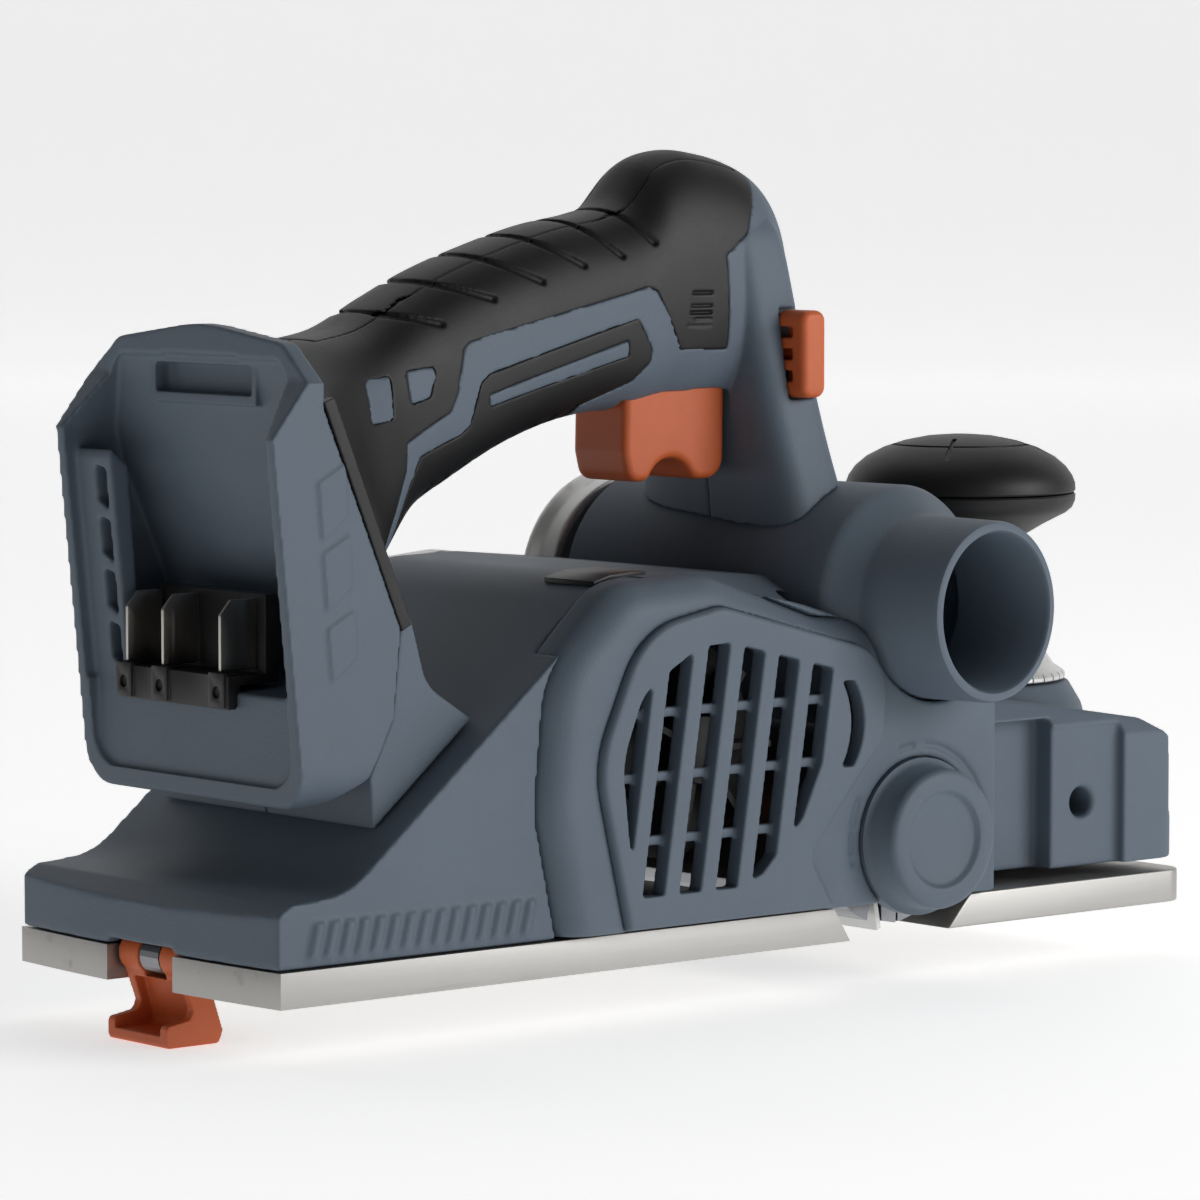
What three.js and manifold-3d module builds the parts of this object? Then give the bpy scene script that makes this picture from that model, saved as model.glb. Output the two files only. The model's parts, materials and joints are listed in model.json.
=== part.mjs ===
// Cordless hand planer with a brushless motor, a belt-driven cutter drum and an open battery bay.
// Millimetres. +X is the way the planer is pushed, +Y its left side, +Z up.
// Shapes are drawn with X = 0 at the rear edge of the sole; Y = 0 is its middle, Z = 0 its underside.

import * as THREE from 'three';
import { mergeVertices } from 'three/addons/utils/BufferGeometryUtils.js';
import { ParametricGeometry } from 'three/addons/geometries/ParametricGeometry.js';
import Module from 'manifold-3d';

// ---------------------------------------------------------------- driving dimensions
const GAP = 0.3;                      // running and seating gap between neighbouring pieces
const SOLE = { length: 270, halfWidth: 47.5, thick: 7.7, bow: 2.3, rearEnd: 160.9, shoeStart: 191.5 };
const DRUM = { x: 179, z: 22.8, core: 21, half: 41, shaft: 6 };
const MOTOR = { x: 120, z: 46, stator: 23, rotor: 13, shaft: 3, bearing: 8 };
const DUCT = { x: 180.5, z: 74.6, r: 27.5, yaw: 5.3, pipe: 20.6, bore: 18, end: 68.3 };
const KNOB = { x: 240, r: 27.7, bottom: 86, split: 96.8, top: 110.4 };
const FOOT = { x: 4.3, z: 6, pin: 2.6, eye: 4.3, half: 10.8, slot: 12 };
const DOCK = { half: 39.5, wall: 2.6, chin: 63.3 };
const BODY = { half: 46.8, wall: 3, floor: 8, side: 51, panel: 53, boss: 59.5 };
const PULLEY = { motor: 6.5, drum: 12.3, belt: 1.5, y0: 48.6, y1: 53.2 };
const COVER = { y0: 47.9, y1: 56, wall: 2.2 };

const SEAT = 80;                      // the part's origin is this far forward of the sole's rear edge

// ---------------------------------------------------------------- solids from three.js shapes
const wasm = await Module();
wasm.setup();

// A closed three.js geometry as a manifold solid: shared corners merged, slivers dropped.
function solid(geometry) {
  const bare = geometry.clone();
  bare.deleteAttribute('normal');
  bare.deleteAttribute('uv');
  const merged = mergeVertices(bare, 1e-4);
  const index = [...merged.index.array];
  const kept = [];
  for (let i = 0; i < index.length; i += 3) {
    const [a, b, c] = index.slice(i, i + 3);
    if (a !== b && b !== c && c !== a) kept.push(a, b, c);
  }
  const vertProperties = new Float32Array(merged.attributes.position.array);
  const made = (triVerts) => new wasm.Manifold(new wasm.Mesh({ numProp: 3, vertProperties, triVerts }));
  const body = made(new Uint32Array(kept));
  return body.volume() > 0 ? body : made(new Uint32Array(kept.reverse()));
}

const join = (first, ...rest) => rest.reduce((sum, other) => sum.add(other), first);
const cut = (first, ...rest) => rest.reduce((left, other) => left.subtract(other), first);
const within = (first, ...rest) => rest.reduce((kept, other) => kept.intersect(other), first);

// The solid's vertices and triangles as a three.js geometry.
function geometryOf(body) {
  const { vertProperties, triVerts } = body.getMesh();
  const geometry = new THREE.BufferGeometry();
  geometry.setAttribute('position', new THREE.BufferAttribute(vertProperties.slice(), 3));
  geometry.setIndex([...triVerts]);
  geometry.computeVertexNormals();
  return geometry;
}

// An outline of [x, y, radius] corners, each with a radius rounded by a short arc.
function outline(corners, steps = 3) {
  const points = [];
  corners.forEach(([x, y, radius = 0], i) => {
    const here = new THREE.Vector2(x, y);
    if (!radius) {
      points.push(here);
      return;
    }
    const [px, py] = corners[(i + corners.length - 1) % corners.length];
    const [nx, ny] = corners[(i + 1) % corners.length];
    const back = new THREE.Vector2(px - x, py - y).normalize();
    const ahead = new THREE.Vector2(nx - x, ny - y).normalize();
    const half = Math.acos(THREE.MathUtils.clamp(back.dot(ahead), -1, 1)) / 2;
    const reach = radius / Math.tan(half);
    const start = here.clone().addScaledVector(back, reach);
    const end = here.clone().addScaledVector(ahead, reach);
    const middle = here.clone().addScaledVector(back.clone().add(ahead).normalize(),
        radius / Math.sin(half));
    const from = Math.atan2(start.y - middle.y, start.x - middle.x);
    let sweep = Math.atan2(end.y - middle.y, end.x - middle.x) - from;
    if (sweep > Math.PI) sweep -= 2 * Math.PI;
    if (sweep < -Math.PI) sweep += 2 * Math.PI;
    for (let k = 0; k <= steps; k++) {
      const angle = from + (sweep * k) / steps;
      points.push(new THREE.Vector2(middle.x + radius * Math.cos(angle),
          middle.y + radius * Math.sin(angle)));
    }
  });
  return points;
}

// Prisms: a side view (X, Z) run along Y, a plan (X, Y) run along Z, a front view (Y, Z) run along X.
// A bevel rounds both ends; an inset makes the whole outline smaller.
function extruded(points, depth, bevel = 0, inset = 0) {
  return new THREE.ExtrudeGeometry(new THREE.Shape(points), {
    depth: depth - 2 * bevel, curveSegments: 1, bevelEnabled: bevel > 0 || inset > 0,
    bevelSize: bevel, bevelThickness: bevel, bevelOffset: -bevel - inset,
        bevelSegments: Math.ceil(bevel / 3) || 1,
  }).translate(0, 0, bevel);
}
function sidePrism(corners, y0, y1, bevel = 0, inset = 0) {
  const shape = extruded(outline(corners), y1 - y0, bevel, inset);
  return solid(shape.rotateX(Math.PI / 2).translate(0, y1, 0));
}
function planPrism(corners, z0, z1, bevel = 0) {
  return solid(extruded(outline(corners), z1 - z0, bevel).translate(0, 0, z0));
}
function frontPrism(corners, x0, x1) {
  const shape = extruded(outline(corners), x1 - x0);
  return solid(shape.rotateX(Math.PI / 2).rotateZ(Math.PI / 2).translate(x0, 0, 0));
}
function block(x0, x1, y0, y1, z0, z1) {
  const box = new THREE.BoxGeometry(x1 - x0, y1 - y0, z1 - z0);
  return solid(box.translate((x0 + x1) / 2, (y0 + y1) / 2, (z0 + z1) / 2));
}

// Round bars and turned pieces along Y or Z.
function rodY(x, z, radius, y0, y1, sides = 24) {
  const rod = new THREE.CylinderGeometry(radius, radius, y1 - y0, sides);
  return solid(rod.translate(x, (y0 + y1) / 2, z));
}
function rodZ(x, y, radius, z0, z1, sides = 24) {
  const rod = new THREE.CylinderGeometry(radius, radius, z1 - z0, sides);
  return solid(rod.rotateX(Math.PI / 2).translate(x, y, (z0 + z1) / 2));
}
// A profile of [radius, height] points turned about an upright axis at (x, y).
function turnedZ(profile, x, y, sides = 32) {
  const lathe = new THREE.LatheGeometry(profile.map(([r, h]) => new THREE.Vector2(r, h)), sides);
  return solid(lathe.rotateX(Math.PI / 2).translate(x, y, 0));
}
// The same about an axis along Y at (x, z); heights are Y positions.
function turnedY(profile, x, z, sides = 32) {
  const lathe = new THREE.LatheGeometry(profile.map(([r, h]) => new THREE.Vector2(r, h)), sides);
  return solid(lathe.translate(x, 0, z));
}

// A skin through rounded sections. Each section has a centre, the two half sizes, the direction of
// the second half size, and a squareness (2 is an ellipse, more is boxier). Ends are closed flat.
function loft(sections, around = 20) {
  const rows = [{ ...sections[0], a: 0, b: 0 }, ...sections, { ...sections.at(-1), a: 0, b: 0 }];
  const power = (value, n) => Math.sign(value) * Math.abs(value) ** (2 / n);
  const point = (u, v, target) => {
    const row = rows[Math.round(v * (rows.length - 1))];
    const angle = 2 * Math.PI * (u === 1 ? 0 : u);
    const across = row.a * power(Math.cos(angle), row.n);
    const along = row.b * power(Math.sin(angle), row.n);
    const [dx, dz] = row.up;
    const [cx, cz] = row.centre;
    if (row.flat) target.set(cx + along * row.flat, across, cz);
    else target.set(cx + along * dx, across, cz + along * dz);
  };
  return solid(new ParametricGeometry(point, around, rows.length - 1));
}

// ---------------------------------------------------------------- finishes
const finish = (color, roughness, metalness = 0) => ({ color, roughness, metalness });
const SHELL = finish(0x5b6772, 0.55);
const RUBBER = finish(0x1b1b1c, 0.62);
const ORANGE = finish(0xc4551f, 0.45);
const ALUMINIUM = finish(0xb4b2ae, 0.35, 1);
const BRIGHT = finish(0xd8d8d6, 0.25, 1);
const STEEL = finish(0x8d9094, 0.3, 1);
const DARK = finish(0x222326, 0.5);
const BRASS = finish(0xb89a56, 0.3, 1);
const COPPER = finish(0xa65a32, 0.35, 1);
const BOARD = finish(0x1f5a3a, 0.5);

const planer = new THREE.Group();
planer.name = 'hand_planer';
function add(name, body, { color, roughness, metalness }) {
  const material = new THREE.MeshStandardMaterial({ color, roughness, metalness });
  const mesh = new THREE.Mesh(geometryOf(body), material);
  mesh.name = name;
  planer.add(mesh);
}

// ---------------------------------------------------------------- rear sole
// Cast plate, its rear edge gently bowed, with a slot for the parking foot.
function soleRearEdge(fromY, toY, steps = 4) {
  const points = [];
  for (let i = 0; i <= steps; i++) {
    const y = fromY + ((toY - fromY) * i) / steps;
    points.push([-SOLE.bow * (1 - (y / SOLE.halfWidth) ** 2), y]);
  }
  return points;
}
const soleFront = SOLE.rearEnd;
const solePlan = [
  ...soleRearEdge(SOLE.halfWidth - 0.01, FOOT.slot),
  [19, FOOT.slot, 2], [19, -FOOT.slot, 2],
  ...soleRearEdge(-FOOT.slot, -SOLE.halfWidth + 0.01),
  [soleFront, -SOLE.halfWidth], [soleFront, SOLE.halfWidth],
];
const pinBore = rodY(FOOT.x, FOOT.z, FOOT.pin + GAP, -18.5, 18.5, 16);
const pinOpening = block(FOOT.x - FOOT.pin - GAP, FOOT.x + FOOT.pin + GAP, -18.5, 18.5, FOOT.z, 9);
const throat = sidePrism([[soleFront, 0], [soleFront - 5.2, SOLE.thick + 0.5], [soleFront + 2, 9],
  [soleFront + 2, -1], [soleFront + 0.7, -1]], -50, 50);
const SOLE_SCREWS = [[132, -36], [132, 36]];
const countersinks = SOLE_SCREWS.map(([x, y]) => turnedZ(
  [[0, -1], [5.2, -1], [5.2, 0.6], [2.8, 3.2], [2.8, 9], [0, 9]], x, y, 20));
add('rear_sole', cut(planPrism(solePlan, 0, SOLE.thick), throat, pinBore, pinOpening, ...countersinks),
    ALUMINIUM);
SOLE_SCREWS.forEach(([x, y], i) => {
  const screw = turnedZ([[0, 0.5], [4.8, 0.5], [4.8, 0.8], [2.4, 3.2], [2.4, 10.6], [0, 10.6]], x, y, 20);
  add(`sole_screw_${i + 1}`, cut(screw, rodZ(x, y, 1.9, 0, 2.2, 6)), STEEL);
});

// ---------------------------------------------------------------- parking foot, its pin and spring
// The leg leans forward going down and ends in a toe that points back under the pin. Its back is
// an open channel between two side walls.
const footSide = [[1.4, 3.4], [4.3, -4.6, 1.2], [3.4, -6.6, 1.2], [-2.8, -7.6, 0.8], [-2.8, -12.4, 0.8],
  [10.9, -12.4, 1], [12.1, -9.8, 2], [7.6, 4]];
const footChannel = [[-4, -9.8], [8.2, -9.8, 1.5], [5.2, 1], [-4, 1]];
const foot = cut(
  join(sidePrism(footSide, -FOOT.half, FOOT.half), rodY(FOOT.x, FOOT.z, FOOT.eye, -FOOT.half, FOOT.half,
      24)),
  sidePrism(footChannel, -FOOT.half + 2.4, FOOT.half - 2.4),
  rodY(FOOT.x, FOOT.z, FOOT.pin + GAP, -12, 12, 24),
  block(-5, 15, -4, 4, 1.4, 12),
);
add('parking_foot', foot, ORANGE);
add('foot_pin', rodY(FOOT.x, FOOT.z, FOOT.pin, -18, 18, 24), STEEL);
add('foot_spring', turnedY([[2.95, -3.4], [4, -3.4], [4, 3.4], [2.95, 3.4], [2.95, -3.4]], FOOT.x, FOOT.z,
    20), STEEL);

// ---------------------------------------------------------------- chip duct
// A drum across the planer, closed on the left, that necks down to the dust pipe on the right.
const ductAxis = (body) => body.rotate([0, 0, DUCT.yaw]).translate([DUCT.x, 0, DUCT.z]);
const ductRoom = ductAxis(turnedY([[0, -70], [20.9, -70], [21.6, -44.7], [26.8, -40], [DUCT.r + GAP, -38.7],
  [DUCT.r + GAP, 60], [0, 60]], 0, 0, 36));
const ductShell = [
  [DUCT.bore, -DUCT.end], [19.6, -DUCT.end], [DUCT.pipe, -66.8], [21.2, -44.6], [26.4, -39.8], [DUCT.r,
      -38.6],
  [DUCT.r, 42], [0, 42], [0, 39.5], [25, 39.5], [25, -37], [DUCT.bore, -41], [DUCT.bore, -DUCT.end],
];
const chute = block(168, 194, -36, 36, 40, 58);
add('chip_duct', cut(ductAxis(turnedY(ductShell, 0, 0, 36)), chute), SHELL);

// ---------------------------------------------------------------- right side cover
// The bulge over the fan and the drum end. Its rim is broad and round, and follows the duct.
function arc(x, z, radius, from, to, steps) {
  const points = [];
  for (let k = 0; k <= steps; k++) {
    const angle = THREE.MathUtils.degToRad(from + ((to - from) * k) / steps);
    points.push([x + radius * Math.cos(angle), z + radius * Math.sin(angle)]);
  }
  return points;
}
const coverSide = [
  [78, -6], [69, 36, 30], [72, 66, 22], [92, 84.6, 16], [118, 85.6, 20], [150, 74.5, 8], [190, 70, 10],
      [220, 50],
  [220, -6],
];
const coverRoom = sidePrism(coverSide, -60, -38);
const coverLimits = block(60, 203, -60, -38.3, 8.4, 100);
const capHole = rodY(DRUM.x, DRUM.z, 18 + GAP, -60, -45, 32);
const panelSide = [
  [91.3, 8.9], [82.4, 46, 24], [95.5, 74.5, 20], [118, 78.6, 10], [167.5, 65.5, 11], [166.5, 46, 10],
  [144.2, 21.2, 5], [151.6, 8.9],
];
const panelRoom = sidePrism(panelSide, -60, -44);
const sideCover = cut(
  within(sidePrism(coverSide, -BODY.side, -30, 8, 0.4), coverLimits),
  sidePrism(coverSide, -BODY.side + BODY.wall, -30, 0, 5),
  panelRoom, capHole, ductRoom,
);
add('side_cover', sideCover, SHELL);

// ---------------------------------------------------------------- vent grille
// A raised panel with six slanted slots; short bars cross behind them.
const slotField = [
  [95, 16], [122, 16, 2], [129.5, 18.4, 2], [141.5, 30, 3], [155, 58, 3], [151, 63, 3], [120, 70.5, 4],
      [111, 70, 5],
  [95, 61, 12], [89, 46, 20], [91, 28, 12],
];
const SLOT = { first: 91.2, pitch: 10.6, width: 6.2, slant: 0.158, middle: 42 };
const slots = within(
  join(...[0, 1, 2, 3, 4, 5].map((k) => {
    const centre = SLOT.first + k * SLOT.pitch;
    const at = (z, side) => [centre + SLOT.slant * (z - SLOT.middle) + (side * SLOT.width) / 2, z];
    return sidePrism([at(10, -1), at(10, 1), at(76, 1), at(76, -1)], -60, -40);
  })),
  sidePrism(slotField, -60, -40),
);
const crescent = sidePrism([[154.6, 59], [158.6, 54, 3], [158.4, 50, 3], [152.6, 39.8], [156, 50.5, 3],
  [156.1, 53, 3]], -60, -40);
const panel = within(sidePrism(panelSide, -BODY.panel, -44, 1, GAP), block(60, 200, -60, -48.6, 8.7, 100));
const crossBars = join(...[28, 42, 56].map((z) => block(88.5, 158, -49.6, -48.6, z - 1, z + 1)));
add('vent_grille', join(cut(panel, slots, crescent), within(crossBars, sidePrism(slotField, -60, -40, 0.01,
    -1))), SHELL);

// ---------------------------------------------------------------- tail housing
// One moulding: a low flat tail, a ramp and the deck over the motor. Open below and in front.
const tailSide = [[-2.6, BODY.floor], [-2.6, 18], [3.4, 21.6], [18.5, 22.8, 18], [94.5, 85, 24], [118,
    85.6],
  [160, 81.6], [158, 50], [152, 44], [152, BODY.floor]];
const tailPlan = [...soleRearEdge(BODY.half, -BODY.half, 8), [170, -BODY.half], [170, BODY.half]];
const tailFront = [[-BODY.half, 0], [BODY.half, 0], [BODY.half, 86, 6], [-BODY.half, 86, 6]];
const tailHollow = [[13, 0], [13, 19.2], [20, 19.6, 12], [95.8, 81.6, 18], [118, 82.4], [170, 77], [170,
    0]];
const bearingSeat = turnedY([[0, 35.5], [11.5, 35.5], [11.5, 45], [0, 45]], MOTOR.x, MOTOR.z, 24);
const tail = cut(
  join(
    cut(
      within(sidePrism(tailSide, -60, 60), planPrism(tailPlan, 0, 90), frontPrism(tailFront, -10, 170)),
      sidePrism(tailHollow, -BODY.half + BODY.wall, BODY.half - BODY.wall),
    ),
    bearingSeat,
  ),
  coverRoom, ductRoom,
  rodY(MOTOR.x, MOTOR.z, MOTOR.bearing + GAP, 35, 41.3, 24),
  rodY(MOTOR.x, MOTOR.z, 4.5, 40, 50, 24),
  block(FOOT.x - FOOT.eye - 0.4, FOOT.x + FOOT.eye + 0.4, -12, 12, 5, FOOT.z + FOOT.eye + 0.4),
  block(-5, FOOT.x, -12, 12, 5, 9.2),
  block(FOOT.x - FOOT.pin - GAP, FOOT.x + FOOT.pin + GAP, -18.4, 18.4, 5, FOOT.z + FOOT.pin + GAP),
  ...SOLE_SCREWS.map(([x, y]) => rodZ(x, y, 2.7, 5, 12, 20)),
);
add('tail_housing', tail, SHELL);
add('control_board', join(block(24, 84, -28, 28, 10, 11.6), block(30, 44, -20, 20, 11, 17),
  block(52, 74, -22, -4, 11, 22), rodZ(64, 12, 6, 11, 26, 16)), BOARD);

// ---------------------------------------------------------------- motor
const onMotor = (profile, sides) => turnedY(profile, MOTOR.x, MOTOR.z, sides);
const ringY = (inner, outer, y0, y1, sides) => onMotor(
  [[inner, y0], [outer, y0], [outer, y1], [inner, y1], [inner, y0]], sides);
add('motor_stator', join(ringY(13.4, MOTOR.stator, -20, 22, 24), ringY(14.5, 21, -25.4, 27.4, 24)), COPPER);
add('motor_rotor', ringY(MOTOR.shaft + GAP, MOTOR.rotor, -21, 23, 28), STEEL);
add('motor_shaft', rodY(MOTOR.x, MOTOR.z, MOTOR.shaft, -41, 53.5, 16), BRIGHT);
add('motor_bearing_right', ringY(MOTOR.shaft + GAP, MOTOR.bearing, -31, -26.6, 24), BRIGHT);
add('motor_bearing_left', ringY(MOTOR.shaft + GAP, MOTOR.bearing, 36, 41, 24), BRIGHT);
const bracketSpokes = join(...[0, 60, 120].map((angle) => solid(
  new THREE.BoxGeometry(50, 2.4, 4).rotateY(THREE.MathUtils.degToRad(angle)).translate(MOTOR.x, -29.4,
      MOTOR.z))));
add('motor_bracket', cut(join(ringY(22.5, 25.5, -30.6, -26.2, 24), ringY(8.6, 11.5, -30.6, -27.2, 16),
    bracketSpokes),
  rodY(MOTOR.x, MOTOR.z, MOTOR.bearing + GAP, -32, -25, 24)), DARK);
const fanBlade = (k) => solid(new THREE.BoxGeometry(15, 8.4, 1.4).translate(13.6, -38.4, 0)
  .rotateY((2 * Math.PI * k) / 7).translate(MOTOR.x, 0, MOTOR.z));
add('cooling_fan', join(ringY(MOTOR.shaft + GAP, 7.5, -44, -32.4, 24), ringY(7, 22, -34.4, -32.4, 24),
    rodY(MOTOR.x, MOTOR.z, 7, -44, -41.4),
  ...[...Array(7).keys()].map(fanBlade)), DARK);
add('motor_pulley', ringY(MOTOR.shaft + GAP, PULLEY.motor, PULLEY.y0, PULLEY.y1, 24), STEEL);

// ---------------------------------------------------------------- drive belt
// The loop round two pulleys: an arc on each and the straight runs between them.
function beltLoop(extra) {
  const reach = Math.hypot(DRUM.x - MOTOR.x, DRUM.z - MOTOR.z);
  const toDrum = Math.atan2(DRUM.z - MOTOR.z, DRUM.x - MOTOR.x);
  const spread = Math.acos((PULLEY.motor - PULLEY.drum) / reach);
  const deg = THREE.MathUtils.radToDeg;
  return [
    ...arc(MOTOR.x, MOTOR.z, PULLEY.motor + extra, deg(toDrum + spread), deg(toDrum - spread) + 360, 12),
    ...arc(DRUM.x, DRUM.z, PULLEY.drum + extra, deg(toDrum - spread), deg(toDrum + spread), 16),
  ];
}
add('drive_belt', cut(sidePrism(beltLoop(PULLEY.belt), PULLEY.y0 + 0.2, PULLEY.y1 - 0.2),
  sidePrism(beltLoop(GAP), 40, 60)), RUBBER);

// ---------------------------------------------------------------- cutter drum and its frame
const onDrum = (profile, sides) => turnedY(profile, DRUM.x, DRUM.z, sides);
const drumTurn = (body, angle) => body.translate([-DRUM.x, 0, -DRUM.z]).rotate([0, angle, 0])
  .translate([DRUM.x, 0, DRUM.z]);
// Knife, clamp bar and their pocket are drawn where the knife edge points along +X from the drum's axis.
const drumPoint = ([r, t]) => [DRUM.x + r, DRUM.z + t];
const pocket = [[26, -3.4], [26, 7], [13.2, 5.2], [11.8, -3.4]].map(drumPoint);
const knife = [[22.7, 0.2], [21.9, 1.2], [13.6, -1.9], [14, -3]].map(drumPoint);
const clampBar = [[20.4, 1.2], [20.4, 5.6], [13.5, 4.7], [12.9, -0.4]].map(drumPoint);
const KNIVES = [100, 280];
const drumBody = onDrum([[0, -47], [DRUM.shaft, -47], [DRUM.shaft, -42], [9, -42], [9, -DRUM.half],
  [DRUM.core, -DRUM.half], [DRUM.core, DRUM.half], [9, DRUM.half], [9, 42], [DRUM.shaft, 42], [DRUM.shaft,
      53.5],
  [0, 53.5]], 36);
add('cutter_drum', cut(drumBody, ...KNIVES.map((a) => drumTurn(sidePrism(pocket, -50, 50), a))
  .map((room) => within(room, block(140, 220, -41.5, 41.5, -10, 60)))), STEEL);
KNIVES.forEach((angle, i) => {
  add(`knife_${i + 1}`, drumTurn(sidePrism(knife, -DRUM.half, DRUM.half), angle), BRIGHT);
  add(`knife_clamp_${i + 1}`, drumTurn(sidePrism(clampBar, -DRUM.half, DRUM.half), angle), STEEL);
});
const drumRing = (inner, outer, y0, y1, sides) => onDrum(
  [[inner, y0], [outer, y0], [outer, y1], [inner, y1], [inner, y0]], sides);
add('drum_pulley', drumRing(DRUM.shaft + GAP, PULLEY.drum, PULLEY.y0, PULLEY.y1, 28), STEEL);
add('drum_bearing_right', drumRing(DRUM.shaft + GAP, 11, -46.4, -43.2, 28), BRIGHT);
add('drum_bearing_left', drumRing(DRUM.shaft + GAP, 11, 43.2, 46.4, 28), BRIGHT);
const cheek = [[158.5, 8.4], [190, 8.4], [197, 11], [203, 11], [203, 40, 5], [196, 46], [166, 46], [158.5,
    40, 5]];
const guard = cut(rodY(DRUM.x, DRUM.z, 26.2, -43.6, 43.6, 36), rodY(DRUM.x, DRUM.z, 24, -50, 50, 36),
  block(140, 220, -50, 50, -10, 11), block(166, 196, -50, 50, 30, 60));
const frame = cut(join(sidePrism(cheek, -46.4, -43.2), sidePrism(cheek, 43.2, 46.4), guard),
  rodY(DRUM.x, DRUM.z, 11 + GAP, -50, 50, 28));
add('drum_frame', frame, ALUMINIUM);
add('drum_end_cap', onDrum([[0, -BODY.boss + 1], [10.3, -BODY.boss + 1], [10.8, -BODY.boss], [14.8,
    -BODY.boss],
  [15.8, -BODY.boss + 1], [16.4, -52.4], [18, -51.6], [18, -48.4], [0, -48.4]], 32), SHELL);

// ---------------------------------------------------------------- belt cover
const beltSide = [[92, 6.2, 10], [76, 44, 30], [92, 83, 20], [120, 85.4, 20], [156, 80, 8], [200, 74, 14],
    [207, 40, 20],
  [203, 6.2, 10]];
const discX = DUCT.x - Math.tan(THREE.MathUtils.degToRad(DUCT.yaw)) * 50;
const beltCover = cut(
  join(sidePrism(beltSide, COVER.y0, COVER.y1, 2.5), turnedY([[0, 44.9], [26.6, 44.9], [26.6, 54], [25.6,
      COVER.y1],
    [0, COVER.y1]], discX, DUCT.z, 36)),
  sidePrism(beltSide, 30, COVER.y1 - COVER.wall, 0, 2.4),
  rodY(discX, DUCT.z, 26.6 - COVER.wall, 30, COVER.y1 - COVER.wall, 36),
);
const COVER_SCREWS = [[97, 16], [196, 14]];
const postFor = ([x, z]) => rodY(x, z, 4.5, COVER.y0, 55, 20);
add('belt_cover', cut(join(beltCover, ...COVER_SCREWS.map(postFor)), ...COVER_SCREWS.map(([x, z]) => join(
  rodY(x, z, 2.3, 40, 60, 16), rodY(x, z, 3.8, 53.2, 60, 16)))), BRIGHT);
COVER_SCREWS.forEach(([x, z], i) => {
  const screw = join(rodY(x, z, 2, COVER.y0 + 0.2, 54, 16), rodY(x, z, 3.5, 53.5, 55.6, 16));
  add(`cover_screw_${i + 1}`, cut(screw, rodY(x, z, 1.5, 54.2, 57, 6)), STEEL);
});

// ---------------------------------------------------------------- front housing
// The block over the front shoe, stepped down its sides, with the cone that carries the knob.
const frontSide = [[199, 49.4], [206.8, 48.6], [206.8, 10.6], [267.4, 10.6], [267.4, 19], [264.4, 22.4],
  [264.2, 39.8], [255.8, 44.4], [222, 50], [199, 52.4]];
const frontPlan = [[190, -SOLE.halfWidth], [267.4, -SOLE.halfWidth, 6], [267.4, SOLE.halfWidth, 6],
  [190, SOLE.halfWidth]];
const cone = turnedZ([[0, 43], [30, 43], [29.2, 46], [26, 51.4], [0, 51.4]], KNOB.x, 0, 36);
const stepCuts = [-1, 1].flatMap((side) => {
  const [deep, shallow] = [39.4, 45].map((y) => side * y);
  const out = side * 60;
  const between = (a, b) => [Math.min(a, b), Math.max(a, b)];
  return [
    block(203, 226.8, ...between(deep, out), 0, 46), block(226, 248.4, ...between(shallow, out), 0, 44),
    block(190, 203.4, ...between(side * 37.6, out), 0, 60), rodY(237, 25.7, 3.5, ...between(side * 34,
        out), 24),
  ];
});
const sleeve = rodZ(KNOB.x, 0, 15.5, 13, 43);
const frontHousing = cut(
  join(cut(within(sidePrism(frontSide, -60, 60), planPrism(frontPlan, 0, 60)),
    block(209.8, 261, -36, 36, 0, 41)), cone, sleeve),
  ductRoom, ...stepCuts, rodZ(KNOB.x, 0, 12.4, 0, 36), rodZ(KNOB.x, 0, 8.3, 30, 60),
);
add('front_housing', frontHousing, SHELL);

// ---------------------------------------------------------------- front shoe and depth adjustment
const shoeSide = [[SOLE.shoeStart, 0], [SOLE.length, 0], [SOLE.length, SOLE.thick], [198.6, SOLE.thick]];
const shoePlan = [[180, -SOLE.halfWidth], [SOLE.length, -SOLE.halfWidth, 6], [SOLE.length, SOLE.halfWidth,
    6],
  [180, SOLE.halfWidth]];
const shoe = join(within(sidePrism(shoeSide, -60, 60), planPrism(shoePlan, -1, 20)),
  cut(rodZ(KNOB.x, 0, 12, 7, 31), rodZ(KNOB.x, 0, 8.2, 12, 40)));
add('front_shoe', shoe, ALUMINIUM);
add('adjuster_screw', rodZ(KNOB.x, 0, 7.9, 16, 90), STEEL);
for (const [side, y] of [['right', -26], ['left', 26]]) {
  add(`shoe_spring_${side}`, turnedZ([[3, 8], [4.4, 8], [4.4, 40.6], [3, 40.6], [3, 8]], 236, y, 20),
      STEEL);
}
add('scale_ring', turnedZ([[8.2, 51.8], [25.4, 51.8], [25.2, 53.4], [15.4, 66], [8.2, 66], [8.2, 51.8]],
  KNOB.x, 0, 36), BRIGHT);
add('knob_lower', turnedZ([[8.2, 66.4], [13.6, 66.4], [13, 82], [15.5, KNOB.bottom], [25.6, 92.6], [KNOB.r,
    96.4],
  [8.2, 96.4], [8.2, 66.4]], KNOB.x, 0, 36), RUBBER);
add('knob_upper', turnedZ([[0, KNOB.split], [KNOB.r, KNOB.split], [27, 100], [23.5, 104.8], [16, 108.8],
    [8, 110.2],
  [0, KNOB.top]], KNOB.x, 0, 36), RUBBER);

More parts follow.
